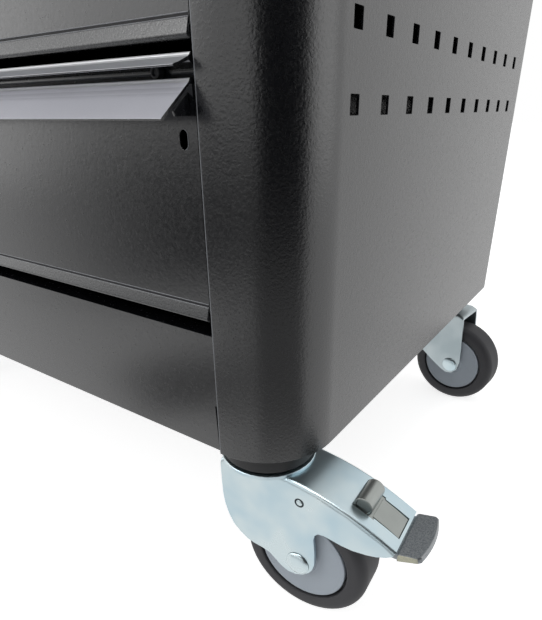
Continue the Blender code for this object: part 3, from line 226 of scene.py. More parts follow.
@dataclass(frozen=True)
class Rubber(Finish):
    """Solid rubber, moulded. It gives the eye a matt dark grey, a little lighter where it
    is dusty, over a fine skin."""

    name: str = "rubber_dark"
    colour: str = "#2b2b2e"
    dust: str = "#3a3a3e"
    roughness: float = 0.62
    wander: tuple[float, float] = (-0.1, 0.12)
    grain_mm: float = 0.7
    grain_depth_mm: float = 0.02
    cloud_mm: float = 22.0

    def shade(self, tree: bpy.types.NodeTree, shader: bpy.types.Node, place: bpy.types.NodeSocket) -> None:
        """Dust clouds in colour and gloss over a fine grain.

        Args:
            tree: Node tree of the material.
            shader: Its principled shader.
            place: Object coordinates.
        """
        cloud = add(tree, "TexNoise", {"Vector": place, "Scale": 1 / (self.cloud_mm * MM), "Detail": 5.0})
        grain = add(tree, "TexNoise", {"Vector": place, "Scale": 1 / (self.grain_mm * MM), "Detail": 2.0})
        tint = add(tree, "Mix", {
            0: cloud.outputs["Fac"], 6: linear(self.colour), 7: linear(self.dust),
        }, data_type="RGBA")
        gloss = add(tree, "MapRange", {
            "Value": cloud.outputs["Fac"],
            "To Min": self.roughness + self.wander[0], "To Max": self.roughness + self.wander[1],
        })
        bump = add(tree, "Bump", {
            "Height": grain.outputs["Fac"], "Distance": self.grain_depth_mm * MM, "Strength": 0.6,
        })
        tree.links.new(tint.outputs[2], shader.inputs["Base Color"])
        tree.links.new(gloss.outputs["Result"], shader.inputs["Roughness"])
        tree.links.new(bump.outputs["Normal"], shader.inputs["Normal"])


@dataclass(frozen=True)
class MouldedPlastic(Finish):
    """Injection moulded polyamide from a spark eroded mould. It gives the eye one even
    colour with a fine, soft grain."""

    name: str = "moulded_plastic"
    colour: str = "#8b949c"
    shadow: str = "#7c858d"
    roughness: float = 0.45
    wander: tuple[float, float] = (-0.05, 0.08)
    grain_mm: float = 0.6
    grain_depth_mm: float = 0.01
    cloud_mm: float = 18.0

    def shade(self, tree: bpy.types.NodeTree, shader: bpy.types.Node, place: bpy.types.NodeSocket) -> None:
        """A faint cloud in colour and a fine grain in the bump.

        Args:
            tree: Node tree of the material.
            shader: Its principled shader.
            place: Object coordinates.
        """
        cloud = add(tree, "TexNoise", {"Vector": place, "Scale": 1 / (self.cloud_mm * MM), "Detail": 3.0})
        grain = add(tree, "TexNoise", {"Vector": place, "Scale": 1 / (self.grain_mm * MM), "Detail": 1.0})
        tint = add(tree, "Mix", {
            0: cloud.outputs["Fac"], 6: linear(self.colour), 7: linear(self.shadow),
        }, data_type="RGBA")
        gloss = add(tree, "MapRange", {
            "Value": grain.outputs["Fac"],
            "To Min": self.roughness + self.wander[0], "To Max": self.roughness + self.wander[1],
        })
        bump = add(tree, "Bump", {
            "Height": grain.outputs["Fac"], "Distance": self.grain_depth_mm * MM, "Strength": 0.5,
        })
        tree.links.new(tint.outputs[2], shader.inputs["Base Color"])
        tree.links.new(gloss.outputs["Result"], shader.inputs["Roughness"])
        tree.links.new(bump.outputs["Normal"], shader.inputs["Normal"])


@dataclass(frozen=True)
class CastMetal(Finish):
    """Die cast zinc alloy, tumbled. It gives the eye a duller grey than the plated sheet,
    slightly pitted."""

    name: str = "cast_metal"
    colour: str = "#a0a5a8"
    pit: str = "#80858a"
    metallic: float = 0.55
    roughness: float = 0.40
    pit_mm: float = 0.9
    pit_depth_mm: float = 0.015

    def shade(self, tree: bpy.types.NodeTree, shader: bpy.types.Node, place: bpy.types.NodeSocket) -> None:
        """Pits in colour and bump.

        Args:
            tree: Node tree of the material.
            shader: Its principled shader.
            place: Object coordinates.
        """
        pits = add(tree, "TexNoise", {"Vector": place, "Scale": 1 / (self.pit_mm * MM), "Detail": 3.0})
        spread = add(tree, "MapRange", {"Value": pits.outputs["Fac"], "From Min": 0.42, "From Max": 0.62})
        tint = add(tree, "Mix", {
            0: spread.outputs["Result"], 6: linear(self.colour), 7: linear(self.pit),
        }, data_type="RGBA")
        bump = add(tree, "Bump", {
            "Height": pits.outputs["Fac"], "Distance": self.pit_depth_mm * MM, "Strength": 0.8,
        })
        shader.inputs["Metallic"].default_value = self.metallic
        shader.inputs["Roughness"].default_value = self.roughness
        tree.links.new(tint.outputs[2], shader.inputs["Base Color"])
        tree.links.new(bump.outputs["Normal"], shader.inputs["Normal"])


# Black powder coat on flat sheet. Nearly all its grey is the room that it mirrors.
BLACK_COAT = PowderCoat()
# The same coat, gone on thicker over the side sheets and their round posts. Its deeper
# orange peel frays the rim of each reflection.
PEBBLED_COAT = PowderCoat(name="powder_coat_black_pebbled", roughness=0.24, peel_mm=1.6, peel_depth_mm=0.13)
# The same coat on the narrow lips, where it piles up: a little greyer and rougher.
LIP_COAT = PowderCoat(
    name="powder_coat_black_lip", colour="#111215", fleck="#1b1d21", roughness=0.28, peel_mm=1.1,
    peel_depth_mm=0.14,
)
# A pale grey coat in the side sheets' folds, along the drawer fronts' grooves and round their slots. Each is
# a fine line of painted highlight where light catches a sharp edge.
HIGHLIGHT_LINE_COAT = PowderCoat(
    name="powder_coat_painted_highlight_line", colour="#5c5e63", fleck="#6f7176", roughness=0.3, peel_mm=1.1,
    peel_depth_mm=0.03,
)
# Silver powder coat of the grip strips, pale and half metallic.
GREY_COAT = PowderCoat(
    name="powder_coat_silver", colour="#b0b1b9", fleck="#bfc0c8", metallic=0.25, gloss=0.5, roughness=0.42,
    peel_mm=1.3, peel_depth_mm=0.06,
)
# Silver coat at the fin's root, painted palest: a painted highlight along the top of the fin, below its bend.
FIN_ROOT_HIGHLIGHT_COAT = PowderCoat(
    name="powder_coat_silver_root_highlight", colour="#dadbe3", fleck="#e5e6ee", metallic=0.25, gloss=0.5,
    roughness=0.42, peel_mm=1.3, peel_depth_mm=0.06,
)
# Silver coat on the upper part of the fin, between the root's tone and the plain one: painted light that
# lifts the shade the lip casts there.
FIN_LIT_COAT = PowderCoat(
    name="powder_coat_silver_fin_lit", colour="#c4c5cd", fleck="#d2d3db", metallic=0.25, gloss=0.5,
    roughness=0.42, peel_mm=1.3, peel_depth_mm=0.06,
)
# Silver coat on the strip's upper lip, painted darker for the shade that the drawer above casts on it, with a
# peel that can be seen.
LIP_SHADE_COAT = PowderCoat(
    name="powder_coat_silver_lip_shade", colour="#9fa1a6", fleck="#b1b3b8", metallic=0.3, gloss=0.5,
    roughness=0.36, peel_mm=1.2, peel_depth_mm=0.13,
)
# Silver coat over the strip's bends, painted brightest: a painted highlight along each bend.
BEND_HIGHLIGHT_COAT = PowderCoat(
    name="powder_coat_silver_bend_highlight", colour="#e2e3e6", fleck="#eeeff1", metallic=0.4, gloss=0.5,
    roughness=0.34, peel_mm=1.3, peel_depth_mm=0.06,
)
# Bright zinc plate of the casters and the lock's face.
ZINC = ZincPlate()
# Zinc plate painted darker for the shade under the cart, and a little rougher, on the rear fork.
SHADED_ZINC = ZincPlate(name="zinc_plate_shaded", colour="#b3bdc0", bloom="#a5b1b5", roughness=0.36)
# Rolled steel without plate, on the key, the cam and the lock bar: neutral grey.
PLAIN_STEEL = ZincPlate(name="steel_plain", colour="#a9abac", bloom="#9a9d9e", roughness=0.36)
# Dark steel ring in the pin's countersink: painted shade of the recess.
COUNTERSINK_SHADE_STEEL = ZincPlate(name="steel_countersink_shade", colour="#3c4246", bloom="#33383b", roughness=0.45)
# Zinc plate on the small pressed pedal, whose short waves come from its tight bends.
PEDAL_PLATE = ZincPlate(
    name="zinc_pedal", colour="#a3a7a4", bloom="#959996", roughness=0.34, wave_mm=9.0,
)
# Grey solid rubber of the tyres.
TYRE_RUBBER = Rubber()
# Black rubber sheet of the worktop mat, rougher and darker. The same black also serves as the painted shade
# of the drawer fronts' fine grooves, as a flat strip on the face.
MAT_AND_GROOVE_SHADE_RUBBER = Rubber(name="rubber_mat_and_groove_shade", colour="#18181a", dust="#232326", roughness=0.7)
# Grey polyamide of the rims, cool and even.
RIM_PLASTIC = MouldedPlastic(name="moulded_rim", colour="#a9b2bb", shadow="#a0a9b3")
# Black polyamide of the bearing caps and the catches, a soft black.
CAP_PLASTIC = MouldedPlastic(name="moulded_black", colour="#101113", shadow="#191a1d", roughness=0.5)
# Die cast skin at the sawn ends of the pedal's tip, warm and bare.
CAST_SKIN = CastMetal(name="cast_bare", colour="#b9b8a4", pit="#aaaa9b", roughness=0.5)
# The tip's front edge, in a shinier, fully metallic finish: a painted highlight along the edge.
CAST_EDGE_HIGHLIGHT = ZincPlate(name="cast_edge_highlight", colour="#a4a7a8", bloom="#96999b", roughness=0.36, wave_mm=5.0)
# Tumbled die casting of the pedal's tip.
PEDAL_METAL = CastMetal()


class Edge(Enum):
    """How far an edge of a carried-over node is rounded, in metres."""

    SHEET = 0.0004
    PRESSED = 0.0008
    SOFT = 0.0012


class Side(Enum):
    """A side of the cart, seen from its front."""

    LEFT = "left"
    RIGHT = "right"

    @property
    def way(self) -> int:
        """-1 for the left and 1 for the right."""
        return -1 if self is Side.LEFT else 1


class Corner(Enum):
    """The corner of the cart that a caster stands at."""

    FRONT_RIGHT = "front_right"
    REAR_RIGHT = "rear_right"
    FRONT_LEFT = "front_left"
    REAR_LEFT = "rear_left"

    @property
    def swivels(self) -> bool:
        """Whether its caster swivels, as the right ones do."""
        return self in (Corner.FRONT_RIGHT, Corner.REAR_RIGHT)


def keep_flats_flat(thing: bpy.types.Object) -> None:
    """Lets the large faces rule the shading, so that a flat sheet stays flat beside its bends.

    Args:
        thing: The piece.
    """
    even = thing.modifiers.new("flats", "WEIGHTED_NORMAL")
    even.mode = "FACE_AREA"
    even.weight = CRISP_SHARE
    even.keep_sharp = True


def dress(node: str, finish: Finish, edge: Edge = Edge.SHEET, fold: float = 38.0) -> None:
    """Gives a node of the frame its finish, joined faces and rounded edges.

    Args:
        node: Name of the node.
        finish: Finish of its whole surface.
        edge: How far its edges are rounded.
        fold: Edges sharper than this many degrees are rounded.
    """
    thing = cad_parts[node]
    thing.data.materials.clear()
    thing.data.materials.append(finish.material())
    thing.data.shade_smooth()
    weld = thing.modifiers.new("joined", "WELD")
    weld.merge_threshold = 0.01 * MM
    bevel = thing.modifiers.new("rounded", "BEVEL")
    bevel.width = edge.value
    bevel.segments = 2
    bevel.limit_method = "ANGLE"
    bevel.angle_limit = math.radians(fold)
    bevel.use_clamp_overlap = True
    keep_flats_flat(thing)
    log.info("dressed %s with %s", node, finish.name)


def drawn(points: Sequence[Point], closed: bool) -> bpy.types.Object:
    """Draws a line of edges as by hand: a small plane is merged to its first corner, and
    each next corner is extruded from the last.

    Args:
        points: Corners of the line.
        closed: Whether it returns to its first corner.

    Returns:
        The line, in edit mode, with all of it selected.
    """
    bpy.ops.object.select_all(action="DESELECT")
    bpy.ops.mesh.primitive_plane_add(size=MM, location=(0, 0, 0))
    thing = bpy.context.object
    bpy.ops.object.mode_set(mode="EDIT")
    bpy.ops.mesh.select_mode(type="VERT")
    bpy.ops.mesh.select_all(action="SELECT")
    bpy.ops.mesh.merge(type="CENTER")
    bpy.ops.transform.translate(value=points[0])
    route = [Vector(point) for point in (*points, *points[: int(closed)])]
    for last, corner in zip(route, route[1:]):
        bpy.ops.mesh.extrude_vertices_move(TRANSFORM_OT_translate={"value": corner - last})
    bpy.ops.mesh.select_all(action="SELECT")
    if closed:
        bpy.ops.mesh.remove_doubles(threshold=JOIN)
    return thing


def taken_off(thing: bpy.types.Object) -> bpy.types.Mesh:
    """Ends the work in edit mode: joins doubled corners, turns the faces outwards and
    keeps the mesh alone.

    Args:
        thing: The piece in edit mode.

    Returns:
        Its mesh, of which each piece takes a copy.
    """
    bpy.ops.mesh.select_all(action="SELECT")
    bpy.ops.mesh.remove_doubles(threshold=JOIN)
    bpy.ops.mesh.normals_make_consistent(inside=False)
    bpy.ops.object.mode_set(mode="OBJECT")
    form = thing.data
    bpy.data.objects.remove(thing)
    return form


@lru_cache(maxsize=None)
def turned(profile: Outline, steps: int = 96) -> bpy.types.Mesh:
    """Spins a profile of (radius, height) pairs round the Z axis. The same form is
    modelled once.

    Args:
        profile: The pairs, in order. One that starts on the axis also ends there.
        steps: Steps of a full turn.

    Returns:
        The form, upright on the origin.
    """
    off_axis = profile[0][0] > 0
    thing = drawn([(radius * MM, 0.0, height * MM) for radius, height in profile], off_axis)
    bpy.ops.mesh.spin(steps=steps, angle=math.tau, center=(0, 0, 0), axis=(0, 0, 1))
    return taken_off(thing)


@lru_cache(maxsize=None)
def extruded(outline: Outline, length: float, rounding: float = 0.0, stations: int = 1) -> bpy.types.Mesh:
    """Extrudes an outline along Z, half its length to each side. The same form is
    modelled once.

    Args:
        outline: The outline in the XY plane.
        length: Full length in millimetres.
        rounding: Width of the rounded rims of both ends, in millimetres.
        stations: Number of runs along the length.

    Returns:
        The form, centred on the origin.
    """
    end = length * MM / 2
    thing = drawn([(across * MM, up * MM, -end) for across, up in outline], True)
    bpy.ops.mesh.edge_face_add()
    for _run in range(stations):
        bpy.ops.mesh.extrude_region_move(TRANSFORM_OT_translate={"value": (0, 0, 2 * end / stations)})
    if rounding:
        bpy.ops.mesh.select_mode(type="EDGE")
        bpy.ops.mesh.select_all(action="DESELECT")
        solid = bmesh.from_edit_mesh(thing.data)
        for edge in solid.edges:
            first, last = (corner.co.z for corner in edge.verts)
            if abs(abs(first) - end) < JOIN and abs(first - last) < JOIN:
                edge.select = True
        bmesh.update_edit_mesh(thing.data)
        bpy.ops.mesh.bevel(
            offset=rounding * MM, segments=3, profile=0.5, affect="EDGES", clamp_overlap=True,
            loop_slide=False,
        )
    return taken_off(thing)


def settle(name: str, form: bpy.types.Mesh, place: Matrix, finishes: Sequence[Finish], body: str,
           nodes: Sequence[str] = (), angle: float = 30.0) -> None:
    """Makes a piece from a copy of a form, in its place, and lets it ride on a body.

    Args:
        name: Name of the piece.
        form: The form, at the origin.
        place: Where it goes.
        finishes: Finishes by material number.
        body: Body that it rides on.
        nodes: Nodes that it stands for.
        angle: Edges sharper than this many degrees stay crisp.
    """
    mesh = form.copy()
    mesh.name = name
    mesh.transform(place)
    if place.determinant() < 0:
        mesh.flip_normals()
    for finish in finishes:
        mesh.materials.append(finish.material())
    mesh.shade_smooth()
    mesh.set_sharp_from_angle(angle=math.radians(angle))
    thing = bpy.data.objects.new(name, mesh)
    bpy.context.scene.collection.objects.link(thing)
    keep_flats_flat(thing)
    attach(thing, body)
    if nodes:
        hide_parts(*nodes)
    log.info("modelled %s", name)


def bend(cx: float, cy: float, radius: float, start: float, stop: float, steps: int = 6) -> Outline:
    """Points along an arc.

    Args:
        cx: Centre across.
        cy: Centre up.
        radius: Radius.
        start: First angle in degrees.
        stop: Last angle in degrees.
        steps: Number of steps between them.

    Returns:
        The points, both ends included.
    """
    angles = [math.radians(start + (stop - start) * i / steps) for i in range(steps + 1)]
    return tuple((cx + radius * math.cos(a), cy + radius * math.sin(a)) for a in angles)


def mirrored(profile: Outline) -> Outline:
    """Adds a profile's mirror image on the other side of height zero.

    Args:
        profile: Pairs of radius and height, from the outside in.

    Returns:
        The whole profile.
    """
    return (*profile, *((radius, -height) for radius, height in reversed(profile)))


def across(x: float, y: float, z: float) -> Matrix:
    """A place for a form that lies across the cart: its outline reaches out of the front
    and up, and its length runs from side to side.

    Args:
        x: Middle of its length.
        y: Plane that it reaches out from.
        z: Height that its outline is drawn from.

    Returns:
        The place.
    """
    return Matrix(((0, 0, 1, x), (-1, 0, 0, y), (0, 1, 0, z), (0, 0, 0, 1)))


@dataclass
class Cabinet:
    """The fixed sheet metal, the worktop and the push handle.

    Attributes:
        bead_radius: Radius of the pale bead of painted highlight on a side sheet's fold, in millimetres.
        bead_inset: How deep its middle lies in the fold, in millimetres.
        bead_short: How much shorter than the fold it is, in millimetres.
        plinth_fold: The plinth's shallow bend is rounded from this many degrees on.
    """

    bead_radius: float = 0.52
    bead_inset: float = 0.38
    bead_short: float = 2.4
    plinth_fold: float = 3.0

    def dress(self) -> None:
        """Gives the fixed nodes their finishes."""
        for side in Side:
            dress(f"side_panel_{side.value}", PEBBLED_COAT, Edge.SOFT)
            dress(f"runner_wall_{side.value}", BLACK_COAT)
            self.fold(side)
        for node in ("base_floor", "back_panel", "top_rail", "worktop_tray"):
            dress(node, BLACK_COAT)
        dress("front_plinth", BLACK_COAT, Edge.SHEET, self.plinth_fold)
        dress("worktop_mat", MAT_AND_GROOVE_SHADE_RUBBER)
        dress("push_handle_bar", BLACK_COAT, Edge.SOFT)
        for place in ("front", "rear"):
            dress(f"push_handle_rosette_{place}", BLACK_COAT, Edge.PRESSED)

    def fold(self, side: Side) -> None:
        """Models a pale bead in the crisp fold of a side sheet beside the drawers. It is a painted highlight
        for the one fine line of light that the fold catches where the coat is thin.

        Args:
            side: Which side sheet.
        """
        node = f"side_panel_{side.value}"
        low, _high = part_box(node)
        front = [v.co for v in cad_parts[node].data.vertices if v.co.y < low.y + 0.05 * MM]
        inner = min(front, key=lambda point: abs(point.x)).x
        bottom, top = min(point.z for point in front), max(point.z for point in front)
        inset = self.bead_inset * MM
        place = Matrix.Translation((inner + side.way * inset, low.y + inset, (bottom + top) / 2))
        bead = extruded(bend(0, 0, self.bead_radius, 0, 345, 23), (top - bottom) / MM - self.bead_short, 0.15)
        settle(f"side_fold_highlight_{side.value}", bead, place, (HIGHLIGHT_LINE_COAT,), "cabinet", (), 50)


class StripCoat(Enum):
    """The coats of a grip strip by material number: plain ones, and ones that paint highlight, light and
    shade.
    """

    GREY = 0
    BLACK = 1
    BEND_HIGHLIGHT = 2
    LIP_SHADE = 3
    ROOT = 4
    UPPER = 5


@dataclass(frozen=True)
class Zone:
    """A stretch of the grip strip's section that has its own coat.

    Attributes:
        coat: The coat.
        reach: Least and most reach out of the front, in millimetres.
        drop: Least and most drop under the top, in millimetres.
        downward: Whether only faces that don't look up belong to it.
    """

    coat: StripCoat
    reach: tuple[float, float] = (-99.0, 99.0)
    drop: tuple[float, float] = (-99.0, 99.0)
    downward: bool = False

    def holds(self, reach: float, drop: float, upward: float) -> bool:
        """Tells whether a face lies in the zone.

        Args:
            reach: Reach of its middle.
            drop: Drop of its middle.
            upward: Upward part of its normal.

        Returns:
            True if it does.
        """
        inside = self.reach[0] < reach < self.reach[1] and self.drop[0] < drop < self.drop[1]
        return inside and not (self.downward and upward >= 0.15)


STRIP_ZONES = (
    # Painted shade: faces that look down under the lip's edge and the fin's tip take the black coat, as a
    # dark line under each.
    Zone(StripCoat.BLACK, reach=(12.9, 13.5), downward=True),
    Zone(StripCoat.BLACK, reach=(22.5, 99.0), downward=True),
    Zone(StripCoat.BLACK, reach=(-99.0, 1.0)),
    Zone(StripCoat.BLACK, reach=(-99.0, 1.9), drop=(3.5, 11.0)),
    Zone(StripCoat.BLACK, reach=(-99.0, 1.9), drop=(14.0, 99.0)),
    # Painted highlight: the lip's upper bend and the fin's top bend take the brightest coat.
    Zone(StripCoat.BEND_HIGHLIGHT, reach=(-99.0, 2.4), drop=(0.3, 1.8)),
    Zone(StripCoat.BEND_HIGHLIGHT, reach=(-99.0, 4.6), drop=(10.8, 13.4)),
    # Painted shade: the strip's upper lip takes a darker coat.
    Zone(StripCoat.LIP_SHADE, drop=(-99.0, 6.4)),
    # Painted light: the top of the fin is painted paler, palest at its root.
    Zone(StripCoat.ROOT, reach=(-99.0, 6.0), drop=(13.4, 14.5)),
    Zone(StripCoat.UPPER, reach=(-99.0, 9.0), drop=(15.0, 17.0)),
)


@dataclass(frozen=True)
class Front:
    """Where a drawer's front and its grip strip lie, in metres.

    Attributes:
        number: The drawer, lowest first.
        face: Plane of the front.
        out: Plane of its foremost point.
        foot: Its lower edge.
        middle: Its middle.
        half: Half its length.
        strip_top: The strip's upper edge.
        strip_middle: The strip's middle.
        strip_half: Half the strip's length.
    """

    number: int
    face: float
    out: float
    foot: float
    middle: float
    half: float
    strip_top: float
    strip_middle: float
    strip_half: float

    @property
    def body(self) -> str:
        """The body that the drawer's pieces ride on."""
        return f"drawer_{self.number}"


@dataclass
class DrawerStack:
    """The drawers with their fronts and grip strips. Sizes are in millimetres.

    Attributes:
        count: Number of drawers.
        strip_behind: How far the strip lies behind the front's plane.
        plate: Thickness of the fin.
        fin_slope: Slope of the fin in degrees.
        runs: Number of runs along the strip.
        catch_from_middle: Distance of the catches from the strip's middle.
        catch_drop: Drop of their middle under the strip's top.
        gusset_inset: Distance of the gussets from the strip's ends.
        slot_inset: Distance of the slots from the front's ends.
        slot_drop: Drop of their middle under the strip's top.
        slot_rise: Half the straight part of a slot.
        slot_radius: Radius of a slot's ends.
        slot_rim: Outer radius of the slot's turned edge.
    """

    count: int = 6
    strip_behind: float = 4.7
    plate: float = 1.5
    fin_slope: float = 38.4
    runs: int = 24
    catch_from_middle: float = 261.0
    catch_drop: float = 7.6
    gusset_inset: float = 3.2
    slot_inset: float = 9.5
    slot_drop: float = 38.0
    slot_rise: float = 1.9
    slot_radius: float = 2.85
    slot_rim: float = 3.2

    def measure(self, number: int) -> Front:
        """Measures a drawer's front in the frame.

        Args:
            number: The drawer, lowest first.

        Returns:
            Where its front and its strip lie.
        """
        low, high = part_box(f"drawer_{number}_front")
        strip_low, strip_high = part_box(f"drawer_{number}_handle")
        return Front(
            number=number, face=strip_high.y - self.strip_behind * MM, out=low.y, foot=low.z,
            middle=(low.x + high.x) / 2, half=(high.x - low.x) / 2, strip_top=strip_high.z,
            strip_middle=(strip_low.x + strip_high.x) / 2, strip_half=(strip_high.x - strip_low.x) / 2,
        )

    def section(self) -> Outline:
        """The grip strip's section, with every bend of the sheet rounded.

        Returns:
            Reach out of the front and height under the drawer's top, in millimetres.
        """
        lip = (
            (0.3, -0.1), (1.0, -0.25), *bend(1.0, -1.25, 0.8, 78, 4, 5), (2.9, -2.1), (5.6, -3.2),
            (9.5, -4.75), *bend(12.7, -6.15, 0.5, 75, -90, 5), (9.5, -6.0), (5.6, -4.7), (2.6, -3.7),
        )
        groove = (
            (1.5, -4.4), (0.3, -4.8), (-1.9, -5.4), (-3.0, -6.6), (-3.2, -7.9), (-3.0, -9.2), (-1.9, -10.4),
            (0.3, -10.9),
        )
        slope = math.radians(self.fin_slope)
        tip_x, tip_z, half, root = 22.75, -28.35, self.plate / 2, 1.9
        under = tip_z - half * math.cos(slope) + (tip_x - half * math.sin(slope) - root) * math.tan(slope)
        fin = (
            *bend(2.1, -12.0, 1.1, 88, 2, 6), (3.9, -12.85), (6.6, -14.94), (9.6, -17.25),
            *bend(tip_x, tip_z, half, 90 - self.fin_slope, -90 - self.fin_slope, 6),
            (root + 1.2, under - 1.2 * math.tan(slope)), (root - 0.2, under - 0.9),
        )
        back = (
            (1.5, under - 1.8), (1.5, -27.3), (0.3, -27.3), (0.3, -12.9), (-2.6, -12.6), (-4.7, -10.2),
            (-4.7, -5.6), (-2.0, -4.0), (0.3, -3.0),
        )
        return lip + groove + fin + back

    def strip(self, front: Front) -> None:
        """Models one grip strip with its silver lip and fin and its black groove, and with painted highlights
        on its bends, painted light on the fin's top, and painted shade on its lip and under its edges.

        Args:
            front: The drawer's front.
        """
        length = round(2 * front.strip_half / MM, 3)
        form = extruded(self.section(), length, 0.0, self.runs)
        for face in form.polygons:
            reach, drop = face.center.x / MM, -face.center.y / MM
            cut = abs(face.center.z) > (length / 2 - 0.01) * MM
            coats = [zone.coat for zone in STRIP_ZONES if zone.holds(reach, drop, face.normal.y)]
            coat = StripCoat.BLACK if cut else (*coats, StripCoat.GREY)[0]
            face.material_index = coat.value
        finishes = (GREY_COAT, BLACK_COAT, BEND_HIGHLIGHT_COAT, LIP_SHADE_COAT, FIN_ROOT_HIGHLIGHT_COAT, FIN_LIT_COAT)
        place = across(front.strip_middle, front.face, front.strip_top)
        settle(
            f"{front.body}_strip", form, place, finishes, front.body,
            [f"{front.body}_handle"], 34,
        )

    def gusset(self, front: Front, side: Side) -> None:
        """Models the small gusset that stiffens the fin at one end.

        Args:
            front: The drawer's front.
            side: Which end.
        """
        web = ((1.6, -17.0), (4.2, -18.6), (12.6, -25.0), (11.6, -27.2), (1.6, -27.2))
        x = front.strip_middle + side.way * (front.strip_half - self.gusset_inset * MM)
        place = across(x, front.face, front.strip_top)
        name = f"{front.body}_gusset_{side.value}"
        settle(name, extruded(web, 1.2, 0.25), place, (BLACK_COAT,), front.body)

    def catch(self, front: Front, side: Side) -> None:
        """Models the round plastic catch in the groove near one end.

        Args:
            front: The drawer's front.
            side: Which end.
        """
        profile = (
            (0.0, -2.2), (3.4, -2.2), (3.4, 0.3), (3.0, 1.0), (2.2, 1.3), (1.7, 1.0), (1.5, 0.2), (0.6, 0.2),
            (0.0, 0.2),
        )
        x = front.strip_middle + side.way * self.catch_from_middle * MM
        stand = Matrix.Translation((x, front.face, front.strip_top - self.catch_drop * MM))
        place = stand @ Matrix.Rotation(math.pi / 2, 4, "X")
        name = f"{front.body}_catch_{side.value}"
        settle(name, turned(profile, 32), place, (CAP_PLASTIC,), front.body)

    def lip(self, front: Front) -> None:
        """Models the lip at the foot of a drawer front: a band that leans out under a fine groove, with a
        soft upper edge. The groove is painted shade, a flat black strip on the face between two fine lines of
        painted highlight.

        Args:
            front: The drawer's front.
        """
        out = max((front.face - front.out) / MM, 0.0)
        length = round(2 * front.half / MM, 3)
        place = across(front.middle, front.face, front.foot)
        band = (
            (-0.3, 9.0), (0.15, 8.95), (0.45, 8.7), (0.62, 8.2), (out + 1.25, 2.6), (out + 1.28, 1.9),
            (out + 1.1, 1.2), (out + 0.6, 0.75), (-0.3, 0.7),
        )
        groove = ((-0.3, 8.95), (0.06, 8.95), (0.06, 10.25), (-0.3, 10.25))
        # Painted shade and highlight: the groove piece is a flat black strip, and the two pale lines at its
        # edges are painted highlights.
        for name, form, finish, angle in (
            ("lip", extruded(band, length - 0.6, 0.3), LIP_COAT, 34),
            ("groove", extruded(groove, length - 0.8), MAT_AND_GROOVE_SHADE_RUBBER, 34),
            ("groove_upper_highlight", extruded(bend(0.02, 10.5, 0.32, 0, 324, 9), length - 0.7), HIGHLIGHT_LINE_COAT, 60),
            ("groove_lower_highlight", extruded(bend(0.36, 8.75, 0.32, 0, 324, 9), length - 0.7), HIGHLIGHT_LINE_COAT, 60),
        ):
            settle(f"{front.body}_{name}", form, place, (finish,), front.body, (), angle)

    def slot_edge(self, front: Front, side: Side) -> None:
        """Models the turned edge of the slot at one end of a drawer front, in the pale coat of a painted
        highlight for the light that its outer side catches.

        Args:
            front: The drawer's front.
            side: Which end.
        """
        rise, rim, hole = self.slot_rise, self.slot_rim, self.slot_radius
        outer = bend(0, rise, rim, 75, 0, 8) + bend(0, -rise, rim, 0, -75, 8)
        inner = bend(0, -rise, hole, -75, 0, 8) + bend(0, rise, hole, 0, 75, 8)
        x = front.middle + side.way * (front.half - self.slot_inset * MM)
        z = front.strip_top - self.slot_drop * MM
        place = Matrix(((side.way, 0, 0, x), (0, 0, side.way, front.face), (0, 1, 0, z), (0, 0, 0, 1)))
        name = f"{front.body}_slot_{side.value}"
        settle(name, extruded(outer + inner, 0.3), place, (HIGHLIGHT_LINE_COAT,), front.body, (), 50)

    def dress(self) -> None:
        """Gives every drawer its finishes and its fine pieces."""
        for number in range(1, self.count + 1):
            dress(f"drawer_{number}_tray", BLACK_COAT)
            dress(f"drawer_{number}_front", BLACK_COAT, Edge.PRESSED)
            front = self.measure(number)
            self.strip(front)
            for side in Side:
                self.gusset(front, side)
                self.catch(front, side)
            self.lip(front)
            for side in Side:
                self.slot_edge(front, side)


@dataclass
class CentralLock:
    """Lock barrel, key and the bar behind the post."""

    def dress(self) -> None:
        """Gives the lock its finishes."""
        for node in ("lock_escutcheon", "lock_barrel"):
            dress(node, ZINC, Edge.PRESSED)
        for node in ("lock_key", "lock_cam", "lock_bar"):
            dress(node, PLAIN_STEEL)


